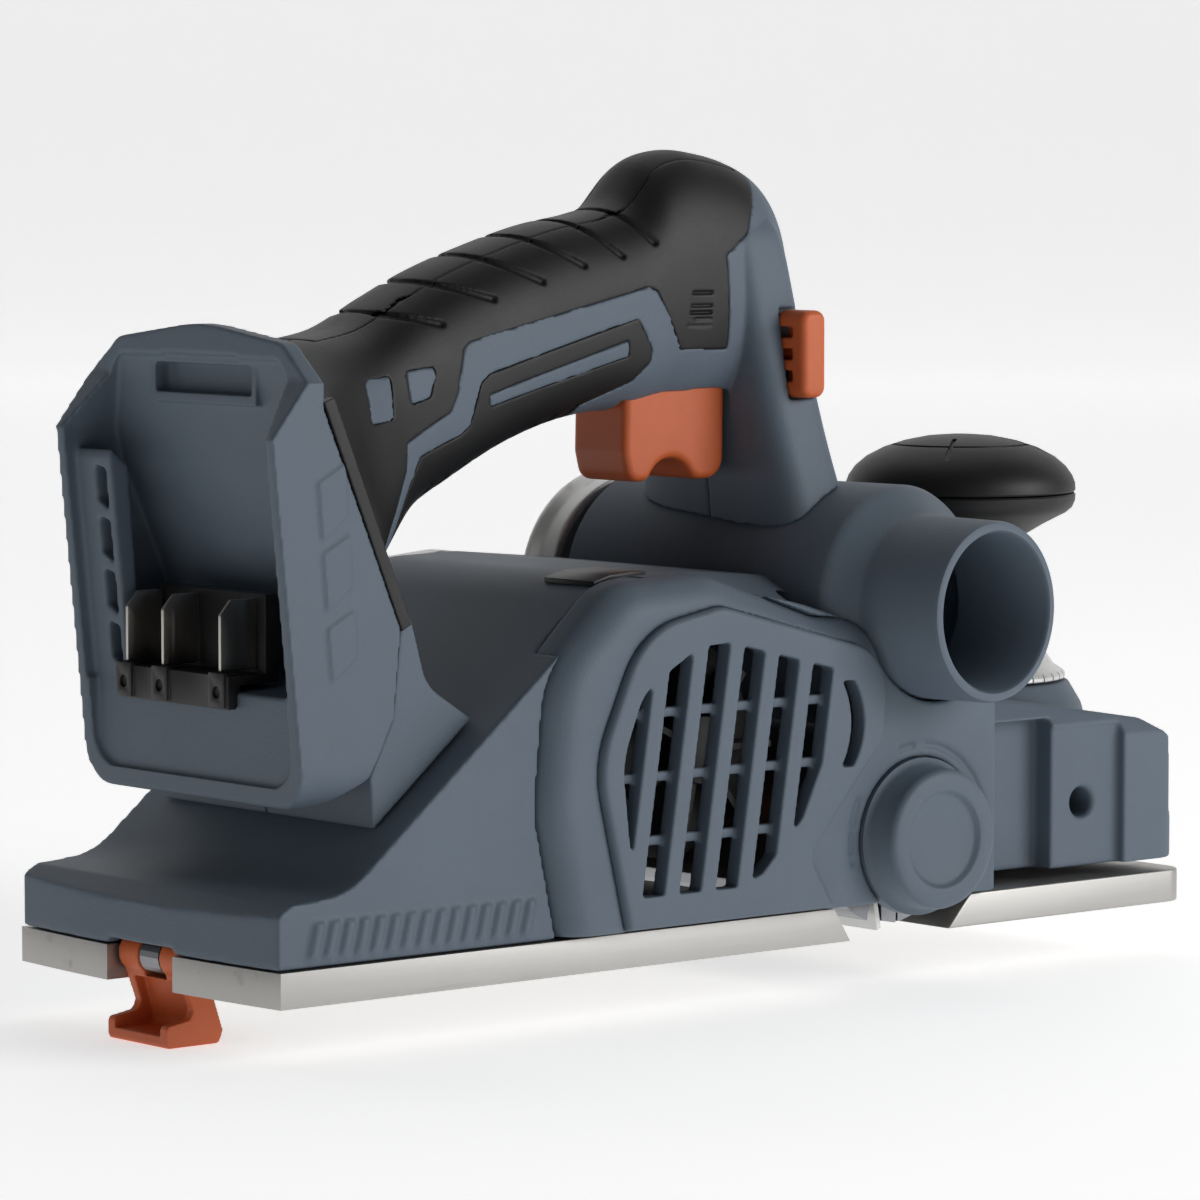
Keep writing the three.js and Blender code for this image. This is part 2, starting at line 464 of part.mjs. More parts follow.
// ---------------------------------------------------------------- handle
// A closed handle from the battery bay to a wide post on the duct. Sections run from the bay forward.
const upright = [0, 1];
const handleRows = [
  [28.6, 101.7, 38.6, 26.2, 8, [-0.395, 0.919]], [33.5, 104.3, 33.5, 28, 5, [-0.33, 0.944]],
  [42, 109.3, 25, 28, 3.4, [-0.22, 0.975]], [53, 115, 20.6, 25.4, 2.8, [-0.1, 0.995]],
  [64, 122.9, 18.4, 24.4, 2.6, upright], [76, 128.9, 17.8, 24, 2.5, upright], [91, 135, 17.5, 22.9, 2.5,
      upright],
  [106, 139.5, 17.5, 22.5, 2.5, upright], [120, 141.9, 17.5, 22.5, 2.5, upright],
  [128, 143.3, 17.2, 24, 2.5, upright], [136, 147.8, 17, 28, 2.4, upright], [144, 149.2, 17, 29.2, 2.4,
      upright],
  [152, 149.1, 17, 28.7, 2.4, upright], [160, 147.6, 17, 28.3, 2.4, upright], [167, 145.6, 16, 27, 2.4,
      upright],
  [172.5, 143, 13, 24.5, 2.3, upright], [176, 140.5, 8, 20, 2.2, upright],
];
const postRows = [[172.2, 84, 30, 11.2], [170.3, 97, 28.5, 10.6], [168.1, 112, 25, 10.2], [165.8, 128, 22,
    9.8],
  [163.7, 142, 19.4, 9.5], [161.2, 158, 17, 9.2], [160, 165, 13, 7]];
const gripLoft = (inset, every = 1) => loft(handleRows.filter((row, i) => i % every === 0)
  .map(([x, z, a, b, n, up]) => ({ centre: [x, z], a: a - inset, b: b - inset, n, up })),
      every > 1 ? 12 : 20);
const post = loft(postRows.map(([x, z, a, b]) => ({ centre: [x, z], a, b, n: 4, up: upright, flat: 1 })));
const neckSide = [[31.8, 34.4], [58.8, 56.6], [46.5, 64.5, 10], [42.4, 79], [39.6, 79], [37.2, 57.8],
    [31.2, 46]];
const RUBBER_DEPTH = 2;
const rubberSide = [[10, 70], [60, 88], [108, 117], [112, 124], [130, 124], [138, 133], [152, 133], [151,
    154],
  [157, 159], [172, 190], [10, 190]];
const rubberRoom = sidePrism(rubberSide, -60, 60);
const triggerRoom = sidePrism([[125, 96], [157.6, 96], [157.6, 110], [157.2, 132], [125, 132]], -10, 10);
const LOCK = { x: 168, z: 132, stem: 2.8, head: [164.4, 171.6, 122, 142] };
const lockRoom = join(
  rodY(LOCK.x, LOCK.z, LOCK.stem + GAP, -40, 40, 20),
  block(LOCK.head[0] - 0.4, LOCK.head[1] + 0.4, -40, -17.2, LOCK.head[2] - 0.4, LOCK.head[3] + 0.4),
  block(LOCK.head[0] - 0.4, LOCK.head[1] + 0.4, 21.6, 40, LOCK.head[2] - 0.4, LOCK.head[3] + 0.4),
);
const gripOuter = gripLoft(0);
const handleCore = cut(
  join(cut(join(gripOuter, post), rubberRoom), gripLoft(RUBBER_DEPTH + GAP), within(post, sidePrism(
    [[150, 60], [200, 60], [200, 190], [156, 190], [158.5, 150], [158.5, 134]], -60, 60)),
  sidePrism(neckSide, -38, 38)),
  within(gripLoft(RUBBER_DEPTH + 3, 2), block(46, 158, -40, 40, 60, 200)),
  triggerRoom, lockRoom, ductAxis(rodY(0, 0, DUCT.r + GAP, -60, 60, 48)),
);
const rightHalf = block(-20, 260, -80, -0.15, 0, 220);
const leftHalf = block(-20, 260, 0.15, 80, 0, 220);
add('handle_right', within(handleCore, rightHalf), SHELL);
add('handle_left', within(handleCore, leftHalf), SHELL);

const topPad = sidePrism([[40, 132], [63.3, 146], [122.5, 163.6], [130.8, 166], [160, 166],
  [160, 190], [40, 190]], -8, 8);
const skin = cut(within(gripOuter, sidePrism(rubberSide, -60, 60)), gripLoft(RUBBER_DEPTH),
  post, triggerRoom);
const padRoom = sidePrism([[39.6, 131.6], [63.3, 145.6], [122.5, 163.2], [130.8, 165.6],
  [160.3, 165.6], [160.3, 190], [39.6, 190]], -8.3, 8.3);
add('grip_right', within(cut(skin, padRoom), rightHalf), RUBBER);
add('grip_left', within(cut(skin, padRoom), leftHalf), RUBBER);
add('grip_top_pad', within(skin, topPad), RUBBER);

// ---------------------------------------------------------------- trigger, lock-off button, switch
const triggerSide = [[126.8, 126], [126.4, 110, 5], [128, 103.4, 3.5], [134, 103.4, 3], [139.6, 110.6, 6],
  [145.6, 103.4, 4], [156.4, 103.4, 5], [156.8, 126]];
add('trigger', sidePrism(triggerSide, -9.5, 9.5, 1.6), ORANGE);
add('trigger_spring', turnedZ([[2.2, 126.4], [3.2, 126.4], [3.2, 131.8], [2.2, 131.8], [2.2, 126.4]], 140,
    0, 16), STEEL);
add('switch_module', block(116, 148, -8.4, 8.4, 132.8, 148), DARK);
const lockNotches = [127, 132, 137].map((z) => block(163, 167.4, -24, -18, z - 1.2, z + 1.2));
const headPlate = (y0, y1) => sidePrism([[LOCK.head[0], LOCK.head[2], 2.5], [LOCK.head[1], LOCK.head[2],
    2.5],
  [LOCK.head[1], LOCK.head[3], 2.5], [LOCK.head[0], LOCK.head[3], 2.5]], y0, y1, 1);
add('lock_off_button', cut(join(headPlate(-27.5, -21.4), headPlate(22, 26), rodY(LOCK.x, LOCK.z, LOCK.stem,
    -22, 23, 20)),
  ...lockNotches), ORANGE);

// ---------------------------------------------------------------- battery bay
// A shallow tray, leaning forward at the foot, that the pack slides down into from above.
const dockSide = [[4.4, 118.5], [13.8, 130.3], [14.4, 141.6], [18.6, 141.6], [18, 125], [38.4, 77.2],
    [36.5, 58],
  [30, 45.5, 4], [20, 40, 4], [12.4, 39.6, 1], [10.2, 62]].reverse();
const dockFront = [[-DOCK.half, 30], [DOCK.half, 30], [DOCK.half, 130], [29.8, 138.2], [0, 142], [-29.8,
    138.2],
  [-DOCK.half, 130]];
const bayInside = [[-5, 63.3], [13, DOCK.chin], [33, 64.5], [35.2, 77], [20.6, 111], [15, 135], [-5, 135]];
const chinFace = [[-5, 42.6], [13.2, 42.6], [13, 70], [-5, 70]];
const inner = DOCK.half - DOCK.wall;
// The left rail has a ladder of windows, the right one is a plain rib.
const railSide = [[8.2, 112], [8.8, 114], [13.4, 110], [17.4, 63], [13.2, 63]];
const railLeft = cut(sidePrism(railSide, 24.6, inner + 0.5),
  ...[72, 84, 96].map((z) => block(0, 30, 27.1, 33.4, z, z + 8)));
const railRight = sidePrism(railSide, -inner - 0.5, -32.4);
const dock = cut(
  join(cut(within(sidePrism(dockSide, -DOCK.half, DOCK.half), frontPrism(dockFront, -5, 60)),
    sidePrism(bayInside, -inner, inner), sidePrism(chinFace, -inner, inner)), railRight, railLeft),
  sidePrism([[17, 44.5], [17, 59.8], [34.6, 61], [45, 61], [45, 50], [30, 50]], -inner, inner),
  block(10, 19.5, -17.5, 17.5, 126.6, 133),
);
add('battery_bay', dock, SHELL);
add('terminal_block', sidePrism([[10.4, 59.8], [12.6, 59.8], [12.6, 64.8], [24, 65.2], [24, 84], [20.4, 84],
  [20.4, 67], [10.4, 67]], -15.5, 24), DARK);
const TERMINALS = { positive: 21.4, sense: 8.2, negative: -12.6 };
for (const [name, y] of Object.entries(TERMINALS)) {
  add(`terminal_${name}`, sidePrism([[10.6, 67.4], [20, 67.4], [20, 83], [12.6, 83], [10.6, 80.6]], y,
      y + 0.9), BRASS);
}

planer.position.x = -SEAT;
export default planer;
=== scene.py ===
import json
import math

import bmesh
import bpy
from mathutils import Matrix, Vector


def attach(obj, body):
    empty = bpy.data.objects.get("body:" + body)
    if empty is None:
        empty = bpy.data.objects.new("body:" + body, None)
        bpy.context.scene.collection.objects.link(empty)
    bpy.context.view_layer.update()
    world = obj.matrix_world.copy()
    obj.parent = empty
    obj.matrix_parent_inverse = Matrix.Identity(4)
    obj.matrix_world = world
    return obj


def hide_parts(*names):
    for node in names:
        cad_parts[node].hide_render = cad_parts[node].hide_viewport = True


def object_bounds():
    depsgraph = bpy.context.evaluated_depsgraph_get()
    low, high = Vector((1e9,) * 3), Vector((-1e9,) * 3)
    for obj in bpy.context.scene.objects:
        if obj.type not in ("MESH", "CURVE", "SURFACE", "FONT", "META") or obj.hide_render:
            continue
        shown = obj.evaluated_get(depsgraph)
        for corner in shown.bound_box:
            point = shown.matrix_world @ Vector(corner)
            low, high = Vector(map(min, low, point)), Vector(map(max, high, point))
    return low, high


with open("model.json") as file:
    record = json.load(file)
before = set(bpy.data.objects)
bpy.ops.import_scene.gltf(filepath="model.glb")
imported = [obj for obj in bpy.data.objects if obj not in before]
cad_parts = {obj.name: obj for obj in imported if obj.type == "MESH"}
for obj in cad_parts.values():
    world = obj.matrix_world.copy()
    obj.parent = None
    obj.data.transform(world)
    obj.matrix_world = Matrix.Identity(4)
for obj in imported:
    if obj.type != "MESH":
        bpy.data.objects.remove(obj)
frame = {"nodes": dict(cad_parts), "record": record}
cad_low, cad_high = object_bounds()

# ---------------------------------------------------------------- studio
# A pale sweep that runs from under the planer up behind it, a large soft light low on the
# planer's front right, and a weak fill. The camera looks across the tail from the right.
MM = 0.001
SEAT = 80.0        # the part's origin is this far ahead of the sole's rear edge


def at(x, y, z):
    """A point measured from the sole's rear edge in millimetres, as the scene holds it."""
    return Vector(((x - SEAT) * MM, y * MM, z * MM))


def mesh_piece(name, points, faces):
    mesh = bpy.data.meshes.new(name)
    mesh.from_pydata([at(*point) for point in points], [], faces)
    mesh.update()
    piece = bpy.data.objects.new(name, mesh)
    bpy.context.scene.collection.objects.link(piece)
    return piece


floor_level = cad_low.z / MM - 0.1
sweep_line = [(-6000, floor_level), (3200, floor_level)]
sweep_line += [(3200 + 900 * math.sin(a), floor_level + 900 - 900 * math.cos(a))
               for a in [math.radians(10 * k) for k in range(1, 10)]]
sweep_line += [(4100, 7000)]
turn = Matrix.Rotation(math.radians(49.9), 3, "Z")
sweep_points = []
for along, up in sweep_line:
    for across in (-6000, 6000):
        spot = turn @ Vector((along, across, 0))
        sweep_points.append((spot.x + SEAT, spot.y, up))
sweep = mesh_piece("sweep", sweep_points, [(k, k + 1, k + 3, k + 2) for k in range(0,
                   len(sweep_points) - 2, 2)])
for polygon in sweep.data.polygons:
    polygon.use_smooth = True
paper = bpy.data.materials.new("sweep paper")
paper.use_nodes = True
paper_shader = paper.node_tree.nodes["Principled BSDF"]
paper_shader.inputs["Base Color"].default_value = (0.9, 0.9, 0.9, 1)
paper_shader.inputs["Roughness"].default_value = 0.9
paper_shader.inputs["Specular IOR Level"].default_value = 0.1
paper_shader.inputs["Emission Color"].default_value = (1, 1, 1, 1)
paper_shader.inputs["Emission Strength"].default_value = 0.56
sweep.data.materials.append(paper)


def soft_light(name, place, aim, size, power):
    lamp = bpy.data.lights.new(name, "AREA")
    lamp.shape = "RECTANGLE"
    lamp.size, lamp.size_y = size
    lamp.energy = power
    holder = bpy.data.objects.new(name, lamp)
    holder.location = place
    holder.rotation_euler = (Vector(aim) - Vector(place)).to_track_quat("-Z", "Y").to_euler()
    bpy.context.scene.collection.objects.link(holder)


soft_light("key light", (0.95, -1.5, 0.6), (0.03, 0, 0.06), (1.1, 0.9), 19)
soft_light("top fill", (0.3, 0.5, 1.9), (0.03, 0, 0.06), (1.2, 1.2), 3)
soft_light("rear fill", (-1.7, 0.1, 0.6), (0.0, 0, 0.06), (0.7, 0.9), 1.5)
world = bpy.data.worlds.new("studio air")
world.use_nodes = True
world.node_tree.nodes["Background"].inputs["Color"].default_value = (1, 1, 1, 1)
world.node_tree.nodes["Background"].inputs["Strength"].default_value = 0.06
bpy.context.scene.world = world
bpy.context.scene.view_settings.view_transform = "Standard"

camera = bpy.data.objects.new("camera", bpy.data.cameras.new("camera"))
camera.data.lens = 171.5
camera.data.sensor_width = 36
camera.data.clip_end = 30
camera.location = at(-709.0, -992.8, 182.0)
camera.rotation_euler = Vector((0.6419, 0.7624, -0.0812)).to_track_quat("-Z", "Y").to_euler()
bpy.context.scene.collection.objects.link(camera)
bpy.context.scene.camera = camera

# ---------------------------------------------------------------- rear sole
# A cast aluminium plate, ground flat below, with a slot at its rear for the foot and two
# countersunk screws that hold it to the housing. Its long edges are broken by a small chamfer.


def outline(corners, steps=10):
    """Points of a closed outline whose (a, b, radius) corners are rounded."""
    points = []
    for k, corner in enumerate(corners):
        here = Vector(corner[:2])
        radius = corner[2] if len(corner) > 2 else 0
        if not radius:
            points.append(here)
            continue
        back = (Vector(corners[k - 1][:2]) - here).normalized()
        ahead = (Vector(corners[(k + 1) % len(corners)][:2]) - here).normalized()
        half = back.angle(ahead) / 2
        middle = here + (back + ahead).normalized() * (radius / math.sin(half))
        start = here + back * (radius / math.tan(half)) - middle
        end = here + ahead * (radius / math.tan(half)) - middle
        sweep_angle = math.atan2(end.y, end.x) - math.atan2(start.y, start.x)
        sweep_angle = (sweep_angle + math.pi) % (2 * math.pi) - math.pi
        for step in range(steps + 1):
            points.append(middle + Matrix.Rotation(sweep_angle * step / steps, 2) @ start)
    return points


PLACED = {"y": lambda a, b, h: (a, h, b), "z": lambda a, b, h: (a, b, h), "x": lambda a, b, h: (h, a, b)}


def faced_out(piece):
    """Turns every face outwards."""
    work = bmesh.new()
    work.from_mesh(piece.data)
    bmesh.ops.remove_doubles(work, verts=work.verts, dist=2e-6)
    bmesh.ops.recalc_face_normals(work, faces=work.faces)
    work.to_mesh(piece.data)
    work.free()
    return piece


def prism(corners, low, high, along="y", name="solid"):
    """A straight run of an outline: a side view along y, a plan along z, a front view along x."""
    ring = outline(corners)
    count = len(ring)
    points = [PLACED[along](p.x, p.y, h) for h in (low, high) for p in ring]
    faces = [(k, (k + 1) % count, (k + 1) % count + count, k + count) for k in range(count)]
    faces += [tuple(range(count)), tuple(range(2 * count - 1, count - 1, -1))]
    return faced_out(mesh_piece(name, points, faces))


def block(x0, x1, y0, y1, z0, z1):
    return prism([(x0, y0), (x1, y0), (x1, y1), (x0, y1)], z0, z1, "z")


def turned(profile, centre, along="z", sides=96, name="turned"):
    """A (radius, height) profile turned about an axis. It starts and ends on the axis, or closes."""
    closed = profile[0] == profile[-1]
    rows = profile[:-1] if closed else profile
    points, faces = [], []
    for radius, height in rows:
        for k in range(sides):
            angle = 2 * math.pi * k / sides
            a, b = centre[0] + radius * math.cos(angle), centre[1] + radius * math.sin(angle)
            points.append(PLACED[along](a, b, height))
    for row in range(len(rows) if closed else len(rows) - 1):
        first, second = row * sides, (row + 1) % len(rows) * sides
        for k in range(sides):
            faces.append((first + k, first + (k + 1) % sides, second + (k + 1) % sides, second + k))
    return faced_out(mesh_piece(name, points, faces))


def rod(centre, radius, low, high, along="y", sides=48):
    return turned([(0, low), (radius, low), (radius, high), (0, high)], centre, along, sides)


def settled(piece):
    """Gives the piece the mesh that its modifiers make."""
    made = bpy.data.meshes.new_from_object(piece.evaluated_get(bpy.context.evaluated_depsgraph_get()))
    piece.modifiers.clear()
    piece.data = made
    return piece


def combine(piece, others, operation):
    for other in others:
        step = piece.modifiers.new("combine", "BOOLEAN")
        step.operation = operation
        step.solver = "MANIFOLD"
        step.object = other
    settled(piece)
    for other in others:
        bpy.data.objects.remove(other)
    return piece


def cut(piece, *others):
    return combine(piece, others, "DIFFERENCE")


def join(piece, *others):
    return combine(piece, others, "UNION")


def within(piece, *others):
    return combine(piece, others, "INTERSECT")


def twin(piece):
    """A second copy of a solid, for use in another cut."""
    copy = piece.copy()
    copy.data = piece.data.copy()
    bpy.context.scene.collection.objects.link(copy)
    return copy


def smooth_shaded(piece, angle=35):
    """Smooth shading that keeps the edges sharper than the angle."""
    piece.data.polygons.foreach_set("use_smooth", [True] * len(piece.data.polygons))
    piece.data.set_sharp_from_angle(angle=math.radians(angle))
    return piece


def softened(piece, grain=0.6, passes=4, keep=0.3):
    """Remeshes finely in millimetres and relaxes, so that every moulded edge is slightly round,
    then keeps a share of the faces, most of them where the surface bends."""
    remesh = piece.modifiers.new("fine skin", "REMESH")
    remesh.mode = "VOXEL"
    remesh.voxel_size = grain * MM
    relax = piece.modifiers.new("relax", "SMOOTH")
    relax.factor = 0.5
    relax.iterations = passes
    thin = piece.modifiers.new("thin", "DECIMATE")
    thin.ratio = keep
    settled(piece)
    piece.data.polygons.foreach_set("use_smooth", [True] * len(piece.data.polygons))
    return piece


def bevelled(piece, width=0.4, segments=3, angle=35):
    """Breaks the sharp edges of a machined or stamped piece."""
    edge = piece.modifiers.new("broken edges", "BEVEL")
    edge.width = width * MM
    edge.segments = segments
    edge.limit_method = "ANGLE"
    edge.angle_limit = math.radians(angle)
    edge.use_clamp_overlap = True
    settled(piece)
    return smooth_shaded(piece)


class Wire:
    """One output of a shader node. Arithmetic on it adds Math nodes."""

    def __init__(self, finish, socket):
        self.finish, self.socket = finish, socket

    def maths(self, operation, first, second=0.0):
        return self.finish.node("Math", {"operation": operation}, {0: first, 1: second})

    def __add__(self, other):
        return self.maths("ADD", self, other)

    def __sub__(self, other):
        return self.maths("SUBTRACT", self, other)

    def __rsub__(self, other):
        return self.maths("SUBTRACT", other, self)

    def __mul__(self, other):
        return self.maths("MULTIPLY", self, other)

    __radd__, __rmul__ = __add__, __mul__

    def above(self, level, blur):
        """0 below a level, 1 above it, with a blurred step between."""
        sockets = {"Value": self, "From Min": level - blur, "From Max": level + blur}
        return self.finish.node("MapRange", {"clamp": True}, sockets)


class Finish:
    """A surface: constants go straight onto the shader, the rest is wired to it."""

    def __init__(self, name, **constants):
        self.material = bpy.data.materials.new(name)
        self.material.use_nodes = True
        self.tree = self.material.node_tree
        self.shader = self.tree.nodes["Principled BSDF"]
        for socket, value in constants.items():
            self.shader.inputs[socket.replace("_", " ")].default_value = value

    def put(self, socket, value):
        if isinstance(value, Wire):
            self.tree.links.new(value.socket, socket)
        else:
            socket.default_value = value

    def node(self, kind, settings=(), sockets=(), output=0):
        made = self.tree.nodes.new("ShaderNode" + kind)
        for key, value in dict(settings).items():
            setattr(made, key, value)
        for key, value in dict(sockets).items():
            self.put(made.inputs[key], value)
        return Wire(self, made.outputs[output])

    def wire(self, **values):
        for socket, value in values.items():
            self.put(self.shader.inputs[socket.replace("_", " ")], value)
        return self

    def place(self, stretch=(1, 1, 1)):
        """The point on the surface in metres, stretched along the axes."""
        point = self.node("TexCoord", output="Object")
        return self.node("VectorMath", {"operation": "MULTIPLY"}, {0: point, 1: stretch})

    def noise(self, scale, detail=2.0, rough=0.5, stretch=(1, 1, 1)):
        sockets = {"Vector": self.place(stretch), "Scale": scale, "Detail": detail, "Roughness": rough}
        return self.node("TexNoise", (), sockets)

    def tint(self, mask, first, second):
        """The first colour where the mask is 0, the second where it is 1."""
        first, second = [c if isinstance(c, Wire) else (*c, 1) for c in (first, second)]
        return self.node("Mix", {"data_type": "RGBA"}, {"Factor": mask, 6: first, 7: second}, output=2)

    def bump(self, height, depth_mm, strength=1.0):
        sockets = {"Height": height, "Distance": depth_mm * MM, "Strength": strength}
        return self.node("Bump", (), sockets)


def ground_metal(name, light, dark, rough, lines, stretch, metallic=1.0):
    """Ground or brushed metal: fine lines one way, faint clouds, and a few deeper scratches."""
    metal = Finish(name, Metallic=metallic)
    grain = metal.noise(lines, 3, 0.6, stretch)
    clouds = metal.noise(45, 3)
    scratches = metal.noise(lines * 0.35, 1, 0.4, stretch).above(0.68, 0.02)
    shade = grain * 0.55 + clouds * 0.45
    metal.wire(Base_Color=metal.tint(shade, dark, light),
               Roughness=shade * 0.22 + scratches * 0.15 + (rough - 0.1),
               Normal=metal.bump(grain + scratches * 0.6, 0.012, 0.6))
    return metal.material


aluminium = ground_metal("ground aluminium", (0.50, 0.49, 0.47), (0.40, 0.39, 0.375), 0.46, 700, (0.05, 1, 1))
steel = ground_metal("turned steel", (0.34, 0.35, 0.37), (0.22, 0.225, 0.24), 0.34, 1100, (1, 0.06, 1))


def finished(piece, name, body, slot, material, *nodes):
    """Names a piece, gives it its finish, and says what it moves with and which solids it stands for."""
    piece.name = name
    piece.data.materials.clear()
    piece.data.materials.append(material)
    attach(piece, body)
    if nodes:
        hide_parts(*nodes)
    return piece


SOLE_HALF, SOLE_THICK, SOLE_FRONT, SOLE_BOW = 47.5, 7.7, 160.9, 2.3
FOOT_X, FOOT_Z, SLOT_HALF = 4.3, 6.0, 12.0


def bowed(first, last, count=8):
    """Points of the gently bowed rear edge between two Y places."""
    places = [first + (last - first) * k / count for k in range(count + 1)]
    return [(-SOLE_BOW * (1 - (y / SOLE_HALF) ** 2), y) for y in places]


sole_plan = bowed(SOLE_HALF, SLOT_HALF) + [(19, SLOT_HALF, 2), (19, -SLOT_HALF, 2)]
sole_plan += bowed(-SLOT_HALF, -SOLE_HALF) + [(SOLE_FRONT, -SOLE_HALF), (SOLE_FRONT, SOLE_HALF)]
sole = prism(sole_plan, 0, SOLE_THICK, "z")
throat = [(160.9, 0), (155.7, 8.2), (163, 9), (163, -1), (161.6, -1)]
sole_screws = [(132, -36), (132, 36)]
cut(sole, prism(throat, -50, 50), rod((FOOT_X, FOOT_Z), 2.9, -18.5, 18.5), block(1.4, 7.2, -18.5, 18.5, 6, 9),
    *[turned([(0, -1), (5.2, -1), (5.2, 0.6), (2.8, 3.2), (2.8, 9), (0, 9)], spot) for spot in sole_screws])
finished(bevelled(sole, 0.9, 3, 50), "rear_sole_plate", "frame", "aluminium", aluminium, "rear_sole")
for number, spot in enumerate(sole_screws, 1):
    screw = turned([(0, 0.7), (4.5, 0.7), (4.8, 1), (2.4, 3.4), (2.4, 10.6), (0, 10.6)], spot, "z", 48)
    cut(screw, prism([(spot[0] + 2 * math.cos(a), spot[1] + 2 * math.sin(a)) for a in
                      [math.pi * k / 3 for k in range(6)]], -1, 2.2, "z"))
    finished(smooth_shaded(screw), f"sole_screw_head_{number}", "frame", "steel", steel,
             f"sole_screw_{number}")

# ---------------------------------------------------------------- parking foot
# An orange moulded foot on a steel cross pin. Its leg leans forward and ends in a toe that
# points back; its rear is an open channel. A small spring holds it down.


def moulded(name, light, dark, rough, grain=1500, depth=0.05, worn=(0.3, 0.3, 0.3)):
    """Moulded plastic: a fine spark-eroded grain, faint clouding, and pale handling specks."""
    plastic = Finish(name, Specular_IOR_Level=0.42)
    texture = plastic.noise(grain, 2, 0.6)
    clouds = plastic.noise(38, 4, 0.6)
    specks = plastic.noise(420, 2, 0.7).above(0.74, 0.03)
    body = plastic.tint(clouds.above(0.5, 0.25), dark, light)
    plastic.wire(Base_Color=plastic.tint(specks * 0.12, body, worn),
                 Roughness=clouds * 0.14 + texture * 0.12 + (rough - 0.12),
                 Normal=plastic.bump(texture, depth))
    return plastic.material


orange = moulded("orange plastic", (0.62, 0.13, 0.035), (0.50, 0.098, 0.026), 0.46, 1300, 0.02, (0.75,
                 0.35, 0.2))
FOOT_HALF = 10.8
foot_side = [(1.4, 3.4), (4.3, -4.6, 1.2), (3.4, -6.6, 1.2), (-2.8, -7.6, 0.8), (-2.8, -12.4, 0.8),
             (10.9, -12.4, 1), (12.1, -9.8, 2), (7.6, 4)]
foot_channel = [(-4, -9.8), (8.2, -9.8, 1.5), (5.2, 1), (-4, 1)]
foot = join(prism(foot_side, -FOOT_HALF, FOOT_HALF), rod((FOOT_X, FOOT_Z), 4.3, -FOOT_HALF, FOOT_HALF))
cut(foot, prism(foot_channel, -FOOT_HALF + 2.4, FOOT_HALF - 2.4), rod((FOOT_X, FOOT_Z), 2.9, -12, 12),
    block(-5, 15, -4, 4, 1.4, 12))
finished(softened(foot, 0.3, 3), "parking_foot_moulding", "foot", "orange", orange, "parking_foot")

# ---------------------------------------------------------------- chip duct
# A grey drum moulded across the planer, closed on the left, that necks down by a cone to the
# dust pipe on the right. The pipe's lip is rounded for the hose.
shell = moulded("grey plastic", (0.108, 0.140, 0.178), (0.092, 0.121, 0.155), 0.56, 1700, 0.07, (0.2, 0.23,
                0.26))
DUCT_X, DUCT_Z, DUCT_R, DUCT_YAW = 180.5, 74.6, 27.5, math.radians(5.3)


def on_duct(piece):
    """Turns a piece drawn about the Y axis to the duct's own axis."""
    move = Matrix.Translation(at(DUCT_X, 0, DUCT_Z)) @ Matrix.Rotation(DUCT_YAW, 4, "Z")
    piece.data.transform(move @ Matrix.Translation(-at(0, 0, 0)))
    return piece


duct_profile = [(18, -67.6), (18.5, -68.2), (19.4, -68.3), (20.2, -67.9), (20.6, -66.8), (20.9, -46.4),
                (21.6, -45.0),
                (25.9, -40.6), (26.8, -39.4), (27.5, -38.0), (27.5, 42), (0, 42), (0, 39.5), (25, 39.5),
                (25, -37),
                (18, -41), (18, -67.6)]
duct = on_duct(turned(duct_profile, (0, 0), "y", 128))
cut(duct, block(168, 194, -36, 36, 40, 58))
finished(smooth_shaded(duct, 40), "chip_duct_moulding", "frame", "shell", shell, "chip_duct")


def duct_room(extra=0.3):
    rings = [(0, -70), (20.6 + extra, -70), (21.3 + extra, -44.7), (26.5 + extra, -40), (DUCT_R + extra,
             -38.7),
             (DUCT_R + extra, 60), (0, 60)]
    return on_duct(turned(rings, (0, 0), "y", 96))


# ---------------------------------------------------------------- right side cover
# A moulded bulge over the fan and the drum end. Its rim is broad and round and runs into the
# duct's cone. An arc is pressed round the drum end cap to show which way the drum turns.


def rounded_rim(piece, level, radius, segments=8):
    """Rounds the edges of the face that lies at one Y level."""
    work = bmesh.new()
    work.from_mesh(piece.data)
    edges = [e for e in work.edges if all(abs(v.co.y - level * MM) < 1e-5 for v in e.verts)]
    bmesh.ops.bevel(work, geom=edges, offset=radius * MM, segments=segments, profile=0.5, affect="EDGES",
                    clamp_overlap=False)
    work.to_mesh(piece.data)
    work.free()
    return faced_out(piece)


cover_side = [(78, -6), (69, 36, 30), (72, 66, 22), (92, 84.6, 16), (118, 85.6, 20), (150, 74.5, 9), (190,
              70, 10),
              (220, 50), (220, -6)]
DRUM_X, DRUM_Z = 179.0, 22.8
panel_side = [(91.3, 8.9), (82.4, 46, 24), (95.5, 74.5, 20), (118, 78.6, 10), (167.5, 65.5, 11), (166.5,
              46, 10),
              (144.2, 21.2, 5), (151.6, 8.9)]
side_cover = rounded_rim(prism(cover_side, -51, -30), -51, 8)
within(side_cover, block(60, 203, -60, -38.3, 8.4, 100))
cut(side_cover, prism([(84, -6), (75, 38, 26), (78, 63, 18), (94, 79, 12), (118, 80, 16), (152, 69, 5),
    (198, 66),
                       (198, -6)], -48, -30), prism(panel_side, -60, -44), rod((DRUM_X, DRUM_Z), 18.3, -60,
                           -45),
    duct_room())
for start, end in ((8, 108), (150, 196)):
    ring_points = [(DRUM_X + radius * math.cos(math.radians(angle)),
                   DRUM_Z + radius * math.sin(math.radians(angle)))
                   for radius, angles in ((20.3, range(start, end + 1, 4)), (21.5, range(end, start - 1, -4)))
                   for angle in angles]
    cut(side_cover, prism(ring_points, -60, -50.1))
